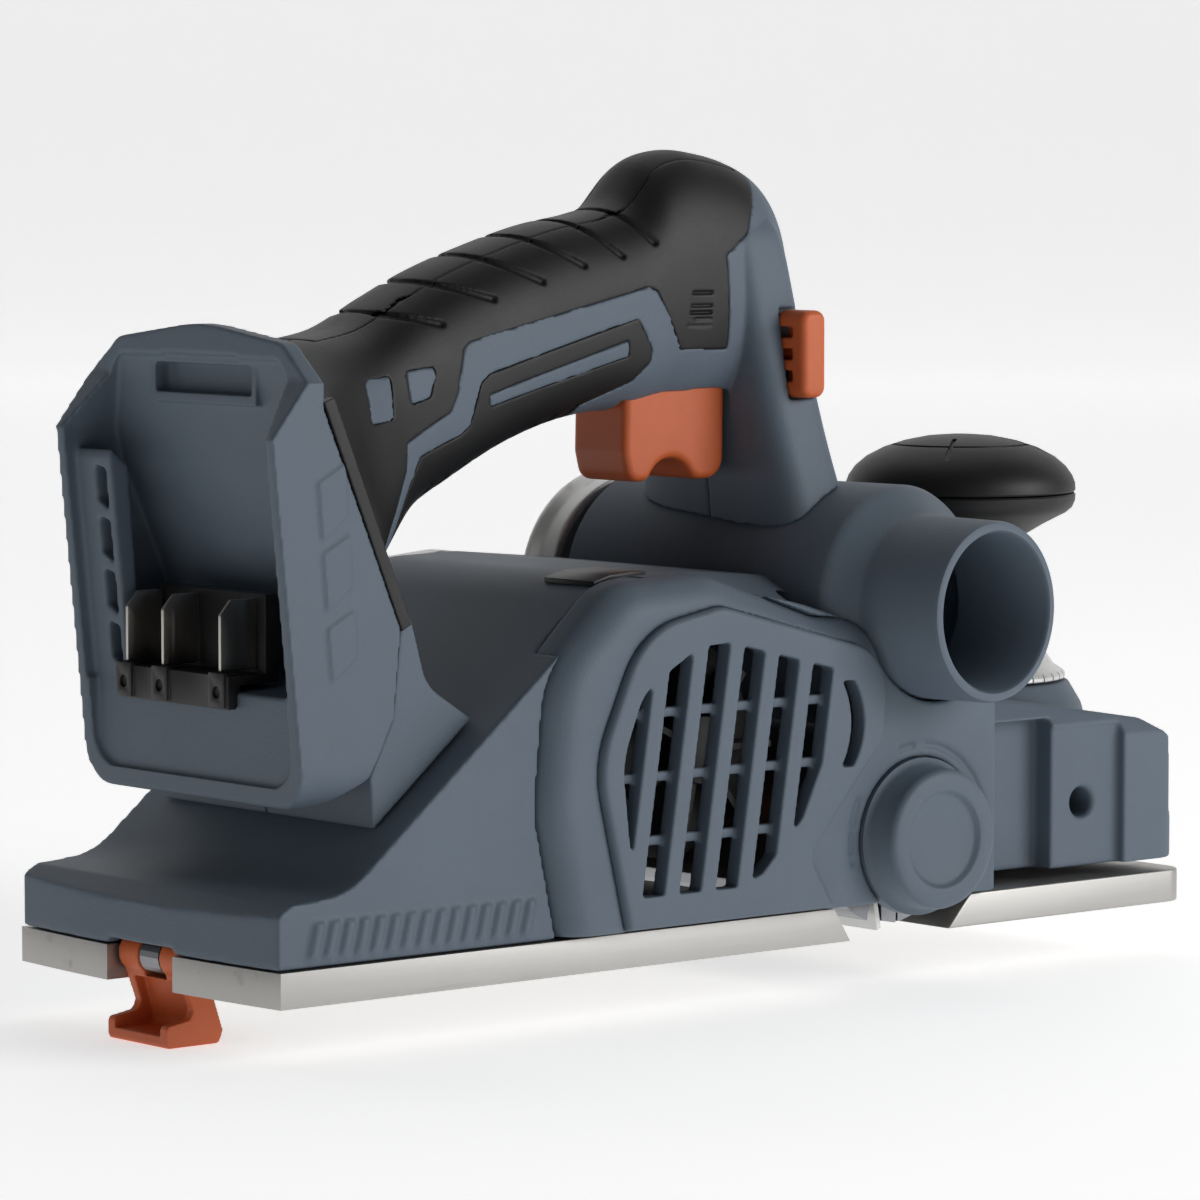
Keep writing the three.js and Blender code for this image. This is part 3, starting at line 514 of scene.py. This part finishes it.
finished(softened(side_cover, 0.55, 4), "side_cover_moulding", "frame", "shell", shell, "side_cover")

# ---------------------------------------------------------------- vent grille
# A raised panel over the cooling fan with six slanted slots and a crescent. Bars cross behind
# the slots to keep fingers out.
slot_field = [(95, 16), (122, 16, 2), (129.5, 18.4, 2), (141.5, 30, 3), (155, 58, 3), (151, 63, 3), (120,
              70.5, 4),
              (111, 70, 5), (95, 61, 12), (89, 46, 20), (91, 28, 12)]
FIRST_SLOT, SLOT_PITCH, SLOT_WIDTH, SLOT_SLANT = 91.2, 10.6, 6.2, 0.158
panel = rounded_rim(prism(panel_side, -53, -48.6), -53, 1.2, 4)
for number in range(6):
    middle = FIRST_SLOT + number * SLOT_PITCH
    corners = [(middle + SLOT_SLANT * (z - 42) + side * SLOT_WIDTH / 2, z)
               for z, side in ((10, -1), (10, 1), (76, 1), (76, -1))]
    cut(panel, within(prism(corners, -60, -40), prism(slot_field, -60, -40)))
crescent = cut(rod((143.5, 50.5), 16.6, -60, -40, "y", 96), rod((138.0, 50.5), 18.2, -61, -39, "y", 96))
cut(panel, within(crescent, block(150, 170, -60, -40, 40.5, 60)))
for level in (28, 42, 56):
    join(panel, block(90, 156, -50.2, -48.6, level - 1.1, level + 1.1))
finished(softened(panel, 0.4, 3), "vent_grille_moulding", "frame", "shell", shell, "vent_grille")

# ---------------------------------------------------------------- tail housing
# One grey moulding: a low flat tail, a curved ramp and the deck over the motor. A row of plain
# slanted bars is moulded along its lower right edge.
TAIL_HALF = 46.8
tail_side = [(-2.6, 8), (-2.6, 18), (3.4, 21.6), (18.5, 22.8, 20), (94.5, 85, 24), (118, 85.6), (160, 81.6),
             (158, 50), (152, 44), (152, 8)]
tail_plan = bowed(TAIL_HALF, -TAIL_HALF) + [(170, -TAIL_HALF), (170, TAIL_HALF)]
tail_front = [(-TAIL_HALF, 0), (TAIL_HALF, 0), (TAIL_HALF, 86, 7), (-TAIL_HALF, 86, 7)]
tail_hollow = [(13, 0), (13, 19.2), (20, 19.6, 12), (95.8, 81.6, 18), (118, 82.4), (170, 77), (170, 0)]
tail = within(prism(tail_side, -60, 60), prism(tail_plan, 0, 90, "z"), prism(tail_front, -10, 170, "x"))
cut(tail, prism(tail_hollow, -43.8, 43.8), prism(cover_side, -60, -38), duct_room(),
    rod((120, 46), 8.3, 35, 50), block(-0.4, 9, -12, 12, 5, 10.7), block(-5, 4.3, -12, 12, 5, 9.2),
    block(1.4, 7.2, -18.4, 18.4, 5, 8.9))
join(tail, prism([(104, 70), (104, 84.4), (118, 84.7), (151, 81.7), (151, 70)], -43.9, -18))
cut(tail, duct_room())
wedge_ends = [(108, [(-60, 85), (-38, 86.2), (-20, 87), (-20, 97), (-60, 97)]),
              (166, [(-60, 68), (-38, 73.5), (-20, 81.6), (-20, 97), (-60, 97)])]
wedge = mesh_piece("wedge", [(x, y, z) for x, ring in wedge_ends for y, z in ring],
                   [(k, (k + 1) % 5, (k + 1) % 5 + 5, k + 5) for k in range(5)] + [(0, 1, 2, 3, 4), (5, 6,
                       7, 8, 9)])
cut(tail, faced_out(wedge))
for number in range(15):
    foot_of_bar = 7.5 + number * 4.1
    join(tail, prism([(foot_of_bar, 10), (foot_of_bar + 2.2, 10), (foot_of_bar + 4.2, 17.4),
         (foot_of_bar + 2, 17.4)],
                     -47.9, -46))
finished(softened(tail, 0.6, 4), "tail_housing_moulding", "frame", "shell", shell, "tail_housing")

# ---------------------------------------------------------------- deck plate
# A thin blank plate of black plastic let into the deck beside the side cover's rim.
black = moulded("black plastic", (0.012, 0.012, 0.013), (0.009, 0.009, 0.010), 0.42, 1800, 0.03, (0.04,
                0.04, 0.04))
plate_side = [(93.4, 83.2), (98, 84.6), (104, 85.0), (108.4, 85.0), (108.4, 86.0), (104, 86.0), (98, 85.6),
              (93.4, 84.4)]
finished(bevelled(prism(plate_side, -37.6, -20.5), 0.2, 2), "deck_plate_blank", "frame", "dark", black)

# ---------------------------------------------------------------- drum end cap
# A round grey plastic cap that snaps into the side cover over the end of the drum's axle. Its
# face has a dished middle inside a rounded ring.
cap_profile = [(0, -58.2), (9.6, -58.2), (10.6, -58.5), (11, -59.3), (11.5, -59.5), (14.6, -59.5), (15.6,
               -59), (16, -58),
               (16.4, -52.6), (17.2, -51.9), (18, -51.6), (18, -48.4), (0, -48.4)]
finished(smooth_shaded(turned(cap_profile, (DRUM_X, DRUM_Z), "y", 96), 50), "drum_end_cap_moulding",
         "frame", "shell",
         shell, "drum_end_cap")

# ---------------------------------------------------------------- belt cover
# A pressed aluminium cover over the belt drive on the left, with a round boss that closes the
# duct's end. Two screws hold it.
bright = ground_metal("brushed cover metal", (0.78, 0.78, 0.77), (0.64, 0.64, 0.63), 0.42, 1000, (1, 1,
                      0.08), 0.6)
belt_side = [(92, 6.2, 10), (76, 44, 30), (92, 83, 20), (120, 85.4, 20), (156, 80, 8), (200, 74, 14), (207,
             40, 20),
             (203, 6.2, 10)]
DISC_X = DUCT_X - math.tan(DUCT_YAW) * 50
cover = rounded_rim(prism(belt_side, 47.9, 56), 56, 3, 6)
join(cover, turned([(0, 44.9), (26.6, 44.9), (26.6, 50.5), (27.8, 53), (27.8, 54.6), (26.2, 56), (0, 56)],
                   (DISC_X, DUCT_Z), "y", 128))
inside = [(93, 8.8, 8), (79, 44, 27), (94, 80.4, 17), (120, 82.8, 17), (156, 77.4, 8), (198, 71.4, 12),
          (204, 40, 17),
          (201, 8.8, 8)]
cut(cover, prism(inside, 30, 53.8), rod((DISC_X, DUCT_Z), 24.4, 30, 53.8, "y", 96))
belt_screws = [(97, 16), (196, 14)]
for spot in belt_screws:
    join(cover, rod(spot, 4.5, 47.9, 55))
    cut(cover, rod(spot, 2.3, 40, 60), rod(spot, 3.8, 53.2, 60))
finished(softened(cover, 0.55, 3), "belt_cover_pressing", "frame", "bright", bright, "belt_cover")

# ---------------------------------------------------------------- front housing
# A grey block over the front shoe. Its sides step in for a fence, with a threaded hole, and its
# top carries the round base that the depth knob turns on.
KNOB_X = 240.0
front_side = [(199, 49.4), (206.8, 48.6), (206.8, 10.6), (267.4, 10.6), (267.4, 19), (264.4, 22.4), (264.2,
              39.8),
              (255.8, 44.4), (222, 50), (199, 52.4)]
front_plan = [(190, -47.5), (267.4, -47.5, 6), (267.4, 47.5, 6), (190, 47.5)]
front = within(prism(front_side, -60, 60), prism(front_plan, 0, 60, "z"),
               prism([(-47.5, 0), (47.5, 0), (47.5, 41), (38, 56), (-38, 56), (-47.5, 41)], 180, 280, "x"))
cut(front, block(209.8, 261, -36, 36, 0, 41))
join(front, turned([(0, 43), (30, 43), (29.2, 46), (26, 51.4), (0, 51.4)], (KNOB_X, 0)),
     rod((KNOB_X, 0), 15.5, 13, 43, "z"))
for side in (-1, 1):
    near, far = sorted((side * 39.4, side * 60))
    step_near, step_far = sorted((side * 45, side * 60))
    rear_near, rear_far = sorted((side * 37.6, side * 60))
    hole_near, hole_far = sorted((side * 34, side * 60))
    cut(front, block(203, 226.8, near, far, 0, 46), block(226, 248.4, step_near, step_far, 0, 44),
        block(190, 203.4, rear_near, rear_far, 0, 60), rod((237, 25.7), 3.5, hole_near, hole_far),
        turned([(0, side * 44.2), (3.5, side * 44.2), (4.6, side * 45.4), (0, side * 45.4)], (237, 25.7),
               "y", 48))
cut(front, duct_room(), rod((KNOB_X, 0), 12.4, 0, 36, "z"), rod((KNOB_X, 0), 8.3, 30, 60, "z"))
finished(softened(front, 0.55, 4), "front_housing_moulding", "frame", "shell", shell, "front_housing")

# ---------------------------------------------------------------- front shoe
# The cast plate ahead of the drum. A hollow boss on it slides in the front housing on the depth
# screw, so the whole plate rises and falls. Its front corners are round.
SHOE_START, SHOE_END, SHOE_HALF = 191.5, 270, 47.5
shoe_side = [(SHOE_START, 0), (SHOE_END, 0), (SHOE_END, SOLE_THICK), (198.6, SOLE_THICK)]
shoe_plan = [(180, -SHOE_HALF), (SHOE_END, -SHOE_HALF, 6), (SHOE_END, SHOE_HALF, 6), (180, SHOE_HALF)]
shoe = within(prism(shoe_side, -60, 60), prism(shoe_plan, -1, 20, "z"))
cut(shoe, block(188, 191.8 + 2, -1.2, 1.2, -1, 1.4))
bevelled(shoe, 0.9, 3, 50)
boss = cut(rod((KNOB_X, 0), 12, 7, 31, "z", 64), rod((KNOB_X, 0), 8.2, 12, 40, "z", 64))
finished(join(shoe, boss), "front_shoe_plate", "shoe", "aluminium", aluminium, "front_shoe")
smooth_shaded(shoe)
SPRING_TURNS, STEPS_PER_TURN = 6, 20
SPRING_X, SPRING_R, SPRING_FOOT, SPRING_TALL, WIRE_R = 236, 3.7, 8.7, 31.2, 0.6
for side, y in (("right", -26), ("left", 26)):
    coil = bpy.data.curves.new("coil", "CURVE")
    coil.dimensions = "3D"
    coil.bevel_depth = WIRE_R * MM
    coil.bevel_resolution = 3
    line = coil.splines.new("POLY")
    count = SPRING_TURNS * STEPS_PER_TURN
    line.points.add(count)
    for k in range(count + 1):
        angle = 2 * math.pi * k / STEPS_PER_TURN
        x_out, y_out = SPRING_R * math.cos(angle), SPRING_R * math.sin(angle)
        spot = at(SPRING_X + x_out, y + y_out, SPRING_FOOT + SPRING_TALL * k / count)
        line.points[k].co = (*spot, 1)
    holder = bpy.data.objects.new("coil", coil)
    bpy.context.scene.collection.objects.link(holder)
    spring = mesh_piece("spring", [], [])
    spring.data = bpy.data.meshes.new_from_object(holder.evaluated_get(bpy.context.evaluated_depsgraph_get()))
    bpy.data.objects.remove(holder)
    finished(smooth_shaded(spring, 60), f"shoe_spring_coil_{side}", "frame", "steel", steel,
             f"shoe_spring_{side}")

# ---------------------------------------------------------------- depth knob and scale ring
# A soft black knob in two halves that meet at its widest, with a ring of moulded pads, above a
# silver skirt with fine marks for the depth of cut.
rubber = moulded("black rubber", (0.006, 0.006, 0.0065), (0.0045, 0.0045, 0.005), 0.50, 2200, 0.02, (0.03,
                 0.03, 0.03))
ring_profile = [(8.2, 51.9), (25.0, 51.9), (25.4, 52.2), (25.4, 53), (24.9, 53.7), (22.6, 55.2), (15.6, 65.6),
                (15.2, 66), (8.2, 66), (8.2, 51.9)]
ring = turned(ring_profile, (KNOB_X, 0), "z", 128)
for number in range(40):
    angle = 2 * math.pi * number / 40
    depth = 9 if number % 5 == 0 else 5
    mark = block(KNOB_X - 0.25, KNOB_X + 0.25, 12, 40, 51, 52.9 + depth * 0.2)
    turn = Matrix.Translation(at(KNOB_X, 0, 0)) @ Matrix.Rotation(angle, 4,
        "Z") @ Matrix.Translation(-at(KNOB_X, 0, 0))
    mark.data.transform(turn)
    cut(ring, within(mark, turned([(24.6, 50), (26, 50), (26, 56), (24.6, 56), (24.6, 50)], (KNOB_X, 0))))
finished(smooth_shaded(ring, 30), "depth_scale_ring", "knob", "bright", bright, "scale_ring")
lower = turned([(8.2, 66.4), (13.2, 66.4), (13.6, 67), (13.1, 76), (13.0, 81), (13.8, 84.4), (16, 86.6),
               (20, 89),
                (25.4, 91.8), (26.8, 93), (27.5, 94.6), (27.6, 96.0), (27.3, 96.4), (8.2, 96.4), (8.2, 66.4)],
               (KNOB_X, 0), "z", 128)
upper = turned([(0, 96.8), (27.3, 96.8), (27.6, 97.2), (27.5, 98.8), (26.8, 100.6), (25.2, 102.8), (22.6,
               105),
                (18.4, 107.2), (13.5, 108.8), (8, 109.9), (3, 110.3), (0, 110.3)], (KNOB_X, 0), "z", 128)
for number in range(4):
    groove = rod((0, 0), 0.55, 10, 40, "y", 16)
    middle = Matrix.Translation(at(KNOB_X, 0, 0)) @ Matrix.Rotation(math.radians(38 + 90 * number), 4, "Z")
    groove.data.transform(middle @ Matrix.Rotation(math.radians(-17), 4, "X") @ Matrix.Translation(-at(0,
                          0, 0)))
    groove.data.transform(Matrix.Translation((0, 0, 112.6 * MM)))
    cut(upper, groove)
cut(upper, turned([(15.4, 107.4), (16.4, 107.4), (16.4, 112), (15.4, 112), (15.4, 107.4)], (KNOB_X, 0),
    "z", 96))
for piece, name in ((lower, "knob_lower"), (upper, "knob_upper")):
    finished(smooth_shaded(piece, 40), f"{name}_moulding", "knob", "rubber", rubber, name)

# ---------------------------------------------------------------- handle
# A closed handle in two grey halves with a centre seam, from the battery bay forward and down a
# wide post onto the duct. Sections give its centre, half width, half height and squareness.
handle_rows = [
    (28.6, 101.7, 38.6, 26.2, 8, -0.395), (33.5, 104.3, 33.5, 28, 5, -0.33), (42, 109.3, 25, 28, 3.4, -0.22),
    (53, 115, 20.6, 25.4, 2.8, -0.1), (64, 122.9, 18.4, 24.4, 2.6, 0), (76, 128.9, 17.8, 24, 2.5, 0),
    (91, 135, 17.5, 22.9, 2.5, 0), (106, 139.5, 17.5, 22.5, 2.5, 0), (120, 141.9, 17.5, 22.5, 2.5, 0),
    (128, 143.3, 17.2, 24, 2.5, 0), (136, 147.8, 17, 28, 2.4, 0), (144, 149.2, 17, 29.2, 2.4, 0),
    (152, 149.1, 17, 28.7, 2.4, 0), (160, 147.6, 17, 28.3, 2.4, 0), (167, 145.6, 16, 27, 2.4, 0),
    (172.5, 143, 13, 24.5, 2.3, 0), (176, 140.5, 8, 20, 2.2, 0),
]
post_rows = [(172.2, 84, 30, 11.2, 4, 0), (170.3, 97, 28.5, 10.6, 4, 0), (168.1, 112, 25, 10.2, 4, 0),
             (165.8, 128, 22, 9.8, 4, 0), (163.7, 142, 19.4, 9.5, 4, 0), (161.2, 158, 17, 9.2, 4, 0),
             (160, 165, 13, 7, 4, 0)]


def smooth_rows(rows, between=6):
    """Fills in sections along a smooth line through the given ones."""
    filled = []
    for k in range(len(rows) - 1):
        before, first, second, after = (rows[max(k - 1, 0)], rows[k], rows[k + 1], rows[min(k + 2,
                                        len(rows) - 1)])
        for step in range(between):
            t = step / between
            filled.append([0.5 * (2 * b + (c - a) * t + (2 * a - 5 * b + 4 * c - d) * t ** 2
                                  + (3 * b - a - 3 * c + d) * t ** 3)
                           for a, b, c, d in zip(before, first, second, after)])
    return filled + [list(rows[-1])]


def lofted(rows, inset=0.0, level=False, around=96):
    """A solid through the sections. Level sections lie flat, the others stand across the handle."""
    points, faces = [], []
    filled = smooth_rows(rows)
    for x, z, half_y, half_z, square, lean in filled:
        rise = math.sqrt(1 - lean * lean)
        for k in range(around):
            angle = 2 * math.pi * k / around
            across, along = [math.copysign(abs(v) ** (2 / square), v) for v in (math.cos(angle),
                             math.sin(angle))]
            across, along = across * (half_y - inset), along * (half_z - inset)
            points.append((x + along, across, z) if level else (x + along * lean, across, z + along * rise))
    for row in range(len(filled) - 1):
        first, second = row * around, (row + 1) * around
        for k in range(around):
            faces.append((first + k, first + (k + 1) % around, second + (k + 1) % around, second + k))
    faces += [tuple(range(around)), tuple(range(len(points) - around, len(points)))]
    return faced_out(mesh_piece("loft", points, faces))


COAT = 2.0          # how deep the rubber is let into the grey core
upper_rubber = [(52.4, 100.8), (55.5, 109.4), (55.8, 115.2), (69.4, 121.5), (71.4, 125.8), (73.4, 135),
                (75.3, 136.7),
                (126.9, 147.8), (129.5, 146.9), (137.9, 133.4), (152.1, 133.3), (150.5, 154.5), (157.4,
                    159.5),
                (172, 190), (10, 190), (10, 70), (40, 72)]
lower_rubber = [(50, 84), (54.6, 99.6), (57.6, 106.5), (60.2, 112), (72.8, 116.3), (75.4, 118.2), (78,
                127.6), (80.6, 129.6),
                (123.7, 141), (128.7, 133.7), (128.7, 131), (124.3, 126.6), (111.5, 121.5), (111.5, 100),
                (60, 84)]
bar = [(80.6, 124.9), (121, 135.9), (121.6, 132.4), (81.2, 122.3)]
windows = [[(43.4, 128.9, 1), (51.8, 129.9, 1), (51.2, 120.6, 1), (43.6, 119.6, 1)],
           [(56.5, 130.7, 1), (65.3, 131.6, 1), (63.4, 125, 1), (57.3, 123.5, 1)]]
TRIGGER_ROOM = [(125, 96), (157.6, 96), (157.6, 110), (157.2, 132), (125, 132)]
LOCK_HEAD = (164.4, 171.6, 122.0, 142.0)
core = join(lofted(handle_rows), lofted(post_rows, level=True))
coat = cut(lofted(handle_rows), lofted(handle_rows, COAT))
post = within(lofted(post_rows, level=True), prism([(150, 60), (200, 60), (200, 190), (156, 190), (158.5,
              150), (158.5, 134)],
                                                    -60, 60))
cut(coat, post)
recess = twin(coat)
recess_masks = [prism(side, -60, 60) for side in (upper_rubber, lower_rubber)]
islands = [prism(side, low, high) for side in [bar, *windows] for low, high in ((-60, -8), (8, 60))]
within(recess, join(twin(recess_masks[0]), twin(recess_masks[1])))
cut(recess, *[twin(island) for island in islands])
cut(core, recess)
neck_side = [(31.8, 34.4), (58.8, 56.6), (46.5, 64.5, 10), (42.4, 79), (39.6, 79), (37.2, 57.8), (31.2, 46)]
join(core, prism(neck_side, -38, 38))
lock_room = [rod((168, 132), 3.1, -40, 40)]
for low, high in ((-40, -17.2), (21.6, 40)):
    lock_room.append(block(LOCK_HEAD[0] - 0.4, LOCK_HEAD[1] + 0.4, low, high, LOCK_HEAD[2] - 0.4,
                     LOCK_HEAD[3] + 0.4))
cut(core, prism(TRIGGER_ROOM, -10, 10), *lock_room, duct_room())
core_left = within(twin(core), block(-20, 260, 0.12, 80, 0, 220))
within(core, block(-20, 260, -80, -0.12, 0, 220))
for piece, side in ((core, "right"), (core_left, "left")):
    finished(softened(piece, 0.42, 4, 0.2), f"handle_half_{side}", "frame", "shell", shell, f"handle_{side}")

# ---------------------------------------------------------------- handle grips
# Black rubber moulded over the handle halves, with finger grooves across the top, a separate
# top pad, and a lower insert with short ribs. Small grey windows show through it.
pad_side = [(40, 132), (63.3, 146), (122.5, 163.6), (130.8, 166), (160, 166), (160, 190), (40, 190)]
pad_room = [(39.6, 131.6), (63.3, 145.6), (122.5, 163.2), (130.8, 165.6), (160.3, 165.6), (160.3, 190),
            (39.6, 190)]
cut(coat, prism(TRIGGER_ROOM, -10, 10), *[twin(island) for island in islands])
lower_coat = within(twin(coat), recess_masks[1])
pad = within(twin(coat), prism(pad_side, -8, 8))
within(coat, recess_masks[0])
cut(coat, prism(pad_room, -8.25, 8.25))
groove_lines = [((57.8, 142.7), (69.4, 140.5)), ((68.9, 149.7), (84.0, 145.7)), ((83.0, 155.4), (97.7,
                149.2)),
                ((97.3, 159.2), (109.8, 152.5)), ((111.2, 162.4), (121.0, 154.4)), ((123.5, 165.0), (130.4,
                    157.2))]

skin = cut(lofted(handle_rows, -0.6), lofted(handle_rows, 0.75))
for (x0, z0), (x1, z1) in groove_lines:
    run, rise = x1 - x0, z1 - z0
    reach = math.hypot(run, rise)
    side_x, side_z = -rise / reach * 0.75, run / reach * 0.75
    start_x, start_z = x0 - run * 0.12, z0 - rise * 0.12
    strip = [(start_x - side_x, start_z - side_z), (x1 - side_x, z1 - side_z), (x1 + side_x, z1 + side_z),
             (start_x + side_x, start_z + side_z)]
    channel = within(twin(skin), prism(strip, -60, 60))
    cut(pad, twin(channel))
    cut(coat, channel)
for number in range(6):
    level = 138.4 + number * 1.5
    lean = 0.25 * (number - 6)
    rib_gap = [(140.4 + lean, level), (146.4, level), (146.4, level + 0.75), (140.4 + lean, level + 0.75)]
    cut(coat, within(twin(skin), prism(rib_gap, -60, 60)))
for number in range(9):
    start = 64 + number * 5.4
    level = 98.5 + number * 2.0
    rib_gap = [(start, level), (start + 1.1, level), (start + 4.2, level + 7.5), (start + 3.1, level + 7.5)]
    cut(lower_coat, within(twin(skin), prism(rib_gap, -60, 60)))
bpy.data.objects.remove(skin)
coat_left = within(twin(coat), block(-20, 260, 0.12, 80, 0, 220))
within(coat, block(-20, 260, -80, -0.12, 0, 220))
insert_left = within(twin(lower_coat), block(-20, 260, 0.12, 80, 0, 220))
within(lower_coat, block(-20, 260, -80, -0.12, 0, 220))
for piece, name, *nodes in ((coat, "grip_coat_right", "grip_right"), (coat_left, "grip_coat_left",
                            "grip_left"),
                            (pad, "grip_pad", "grip_top_pad"), (lower_coat, "grip_insert_right"),
                            (insert_left, "grip_insert_left")):
    finished(softened(piece, 0.32, 4, 0.2), name, "frame", "rubber", rubber, *nodes)
for island in islands:
    bpy.data.objects.remove(island)

# ---------------------------------------------------------------- trigger and lock-off button
# The trigger is an orange moulding with two finger hollows; it slides up into the handle. The
# lock-off button is an orange bar across the post with a notched head on each side.
trigger_side = [(126.8, 126), (126.4, 110, 5), (128, 103.4, 3.5), (133.4, 103.4, 2.5), (140.4, 113, 6.5),
                (147.4, 103.4, 3.5), (156.4, 103.4, 5), (156.8, 126)]
trigger = prism(trigger_side, -9.5, 9.5)
for level in (-9.5, 9.5):
    rounded_rim(trigger, level, 1.8, 5)
finished(softened(trigger, 0.35, 3), "trigger_moulding", "trigger", "orange", orange, "trigger")


def head_plate(low, high):
    x0, x1, z0, z1 = LOCK_HEAD
    return prism([(x0, z0, 2.5), (x1, z0, 2.5), (x1, z1, 2.5), (x0, z1, 2.5)], low, high)


button = join(rounded_rim(head_plate(-27.5, -18.4), -27.5, 1.6, 4), rounded_rim(head_plate(22, 26), 26,
              1.2, 4),
              rod((168, 132), 2.8, -22, 23))
for level in (127, 132, 137):
    cut(button, block(163, 167.6, -23.4, -17, level - 1.3, level + 1.3))
finished(softened(button, 0.3, 3), "lock_off_button_moulding", "lock_off", "orange", orange,
         "lock_off_button")

# ---------------------------------------------------------------- battery bay
# A grey tray that the pack slides down into: a chamfered rim, side rails with ladder windows, a
# slot for the latch at the top, and a rubber strip down each front edge.
DOCK_HALF = 39.5
dock_side = [(12.4, 39.6, 1), (20, 40, 4), (30, 45.5, 4), (36.5, 58), (38.4, 77.2), (18, 125), (18.6,
             141.6), (14.4, 141.6),
             (13.8, 130.3), (4.4, 118.5), (10.2, 62)]
dock_front = [(-DOCK_HALF, 39.6, 9), (DOCK_HALF, 39.6, 9), (DOCK_HALF, 130), (29.8, 138.2, 6), (0, 142,
              60), (-29.8, 138.2, 6),
              (-DOCK_HALF, 130)]
bay_inside = [(-5, 63.3), (13, 63.3), (33, 64.5), (35.2, 77), (20.6, 111), (15, 135), (-5, 135)]
bay_front = [(-37, 42), (37, 42), (37, 118), (30, 134.5, 4), (-30, 134.5, 4), (-37, 118)]
dock = within(prism(dock_side, -DOCK_HALF, DOCK_HALF), prism(dock_front, -5, 60, "x"))
cut(dock, within(prism(bay_inside, -36.9, 36.9), prism(bay_front, -6, 60, "x")),
    within(prism([(-5, 42.6), (13.2, 42.6), (13, 70), (-5, 70)], -36.9, 36.9),
           prism([(-36, 44, 8), (36, 44, 8), (36, 72), (-36, 72)], -6, 60, "x")))
for low, high in ((-37.4, -32.4), (24.6, 37.4)):
    join(dock, prism([(8.2, 112), (8.8, 114), (13.4, 110), (17.4, 63), (13.2, 63)], low, high))
for level in (66, 77.5, 89, 100.5):
    cut(dock, prism([(26.6, level), (30.6, level + 2.2), (30.6, level + 10), (26.6, level + 9)], 2, 17.2,
        "x"))
join(dock, block(15.5, 22, -19, 19, 124.5, 135))
cut(dock, block(8, 19.6, -17.5, 17.5, 126.6, 133), block(8, 15.4, -14, 14, 131, 135))
for side in (-1, 1):
    for x, z, tall in ((17.4, 97, 12), (18.6, 82, 12), (19.8, 67, 11)):
        low, high = sorted((side * 39, side * 40))
        join(dock, prism([(x, z), (x + 6.5, z + 5), (x + 6, z + 5 + tall * 0.9), (x - 1, z + tall)], low,
             high))
finished(softened(dock, 0.5, 3), "battery_bay_moulding", "frame", "shell", shell, "battery_bay")
for side, name in ((-1, "right"), (1, "left")):
    low, high = sorted((side * 37.2, side * 39.9))
    strip = prism([(17.8, 126), (20.6, 127), (41, 78), (38.5, 76.6)], low, high)
    finished(softened(strip, 0.3, 2), f"bay_edge_strip_{name}", "frame", "rubber", rubber)

# ---------------------------------------------------------------- terminals
# A black block at the foot of the bay with three upright brass blades, each clamped in a small
# screwed shoe, thin edge towards the pack.
blade_metal = ground_metal("tinned blade", (0.55, 0.53, 0.49), (0.38, 0.36, 0.33), 0.30, 1200, (1, 1, 0.1))
terminal_block = prism([(10.4, 59.8), (12.6, 59.8), (12.6, 64.8), (24, 65.2), (24, 84), (20.4, 84), (20.4,
                       67), (10.4, 67)],
                       -15.5, 24)
BLADE_THICK = 0.9
BLADE_FOOT = (2.4, 3.3)     # how far the clamp shoe reaches either side of a blade's right face
blades = {"positive": 21.4, "sense": 8.2, "negative": -12.6}
for low in blades.values():
    join(terminal_block, block(9.6, 14, low - BLADE_FOOT[0], low + BLADE_FOOT[1], 60.2, 67.6))
    cut(terminal_block, rod((low + BLADE_THICK / 2, 63.4), 1.3, 9, 10.4, "x", 24))
finished(bevelled(terminal_block, 0.25, 2), "terminal_block_moulding", "frame", "dark", black,
         "terminal_block")
for name, low in blades.items():
    blade = prism([(10.6, 67.8), (20, 67.8), (20, 83), (13.4, 83, 0.8), (10.6, 79.8, 0.8)], low,
                  low + BLADE_THICK)
    finished(bevelled(blade, 0.2, 2), f"terminal_blade_{name}", "frame", "brass", blade_metal,
             f"terminal_{name}")

# ---------------------------------------------------------------- cutter drum, motor and the rest
# Steel drum with two clamped knives, cast frame and bearings, belt and pulleys, and the motor
# with its fan and board behind the grille. These solids keep their own shape.
brass = ground_metal("brass", (0.70, 0.55, 0.28), (0.52, 0.40, 0.20), 0.32, 1000, (1, 1, 1))
winding = Finish("copper winding", Metallic=0.85)
turns = winding.noise(1400, 1, 0.4, (1, 0.05, 1))
winding.wire(Base_Color=winding.tint(turns, (0.30, 0.10, 0.04), (0.66, 0.27, 0.12)),
             Roughness=turns * 0.3 + 0.25,
             Normal=winding.bump(turns, 0.15))
board = moulded("circuit board", (0.02, 0.11, 0.06), (0.014, 0.085, 0.045), 0.40, 900, 0.03, (0.3, 0.3, 0.2))
by_slot = {"shell": shell, "rubber": rubber, "orange": orange, "aluminium": aluminium, "bright": bright,
           "steel": steel,
           "dark": black, "brass": brass, "copper": winding.material, "board": board}
slot_of = {row["node"]: row["material_slot"] for row in frame["record"]["subparts"]}
for node, solid in frame["nodes"].items():
    solid.data.materials.clear()
    solid.data.materials.append(by_slot[slot_of[node]])
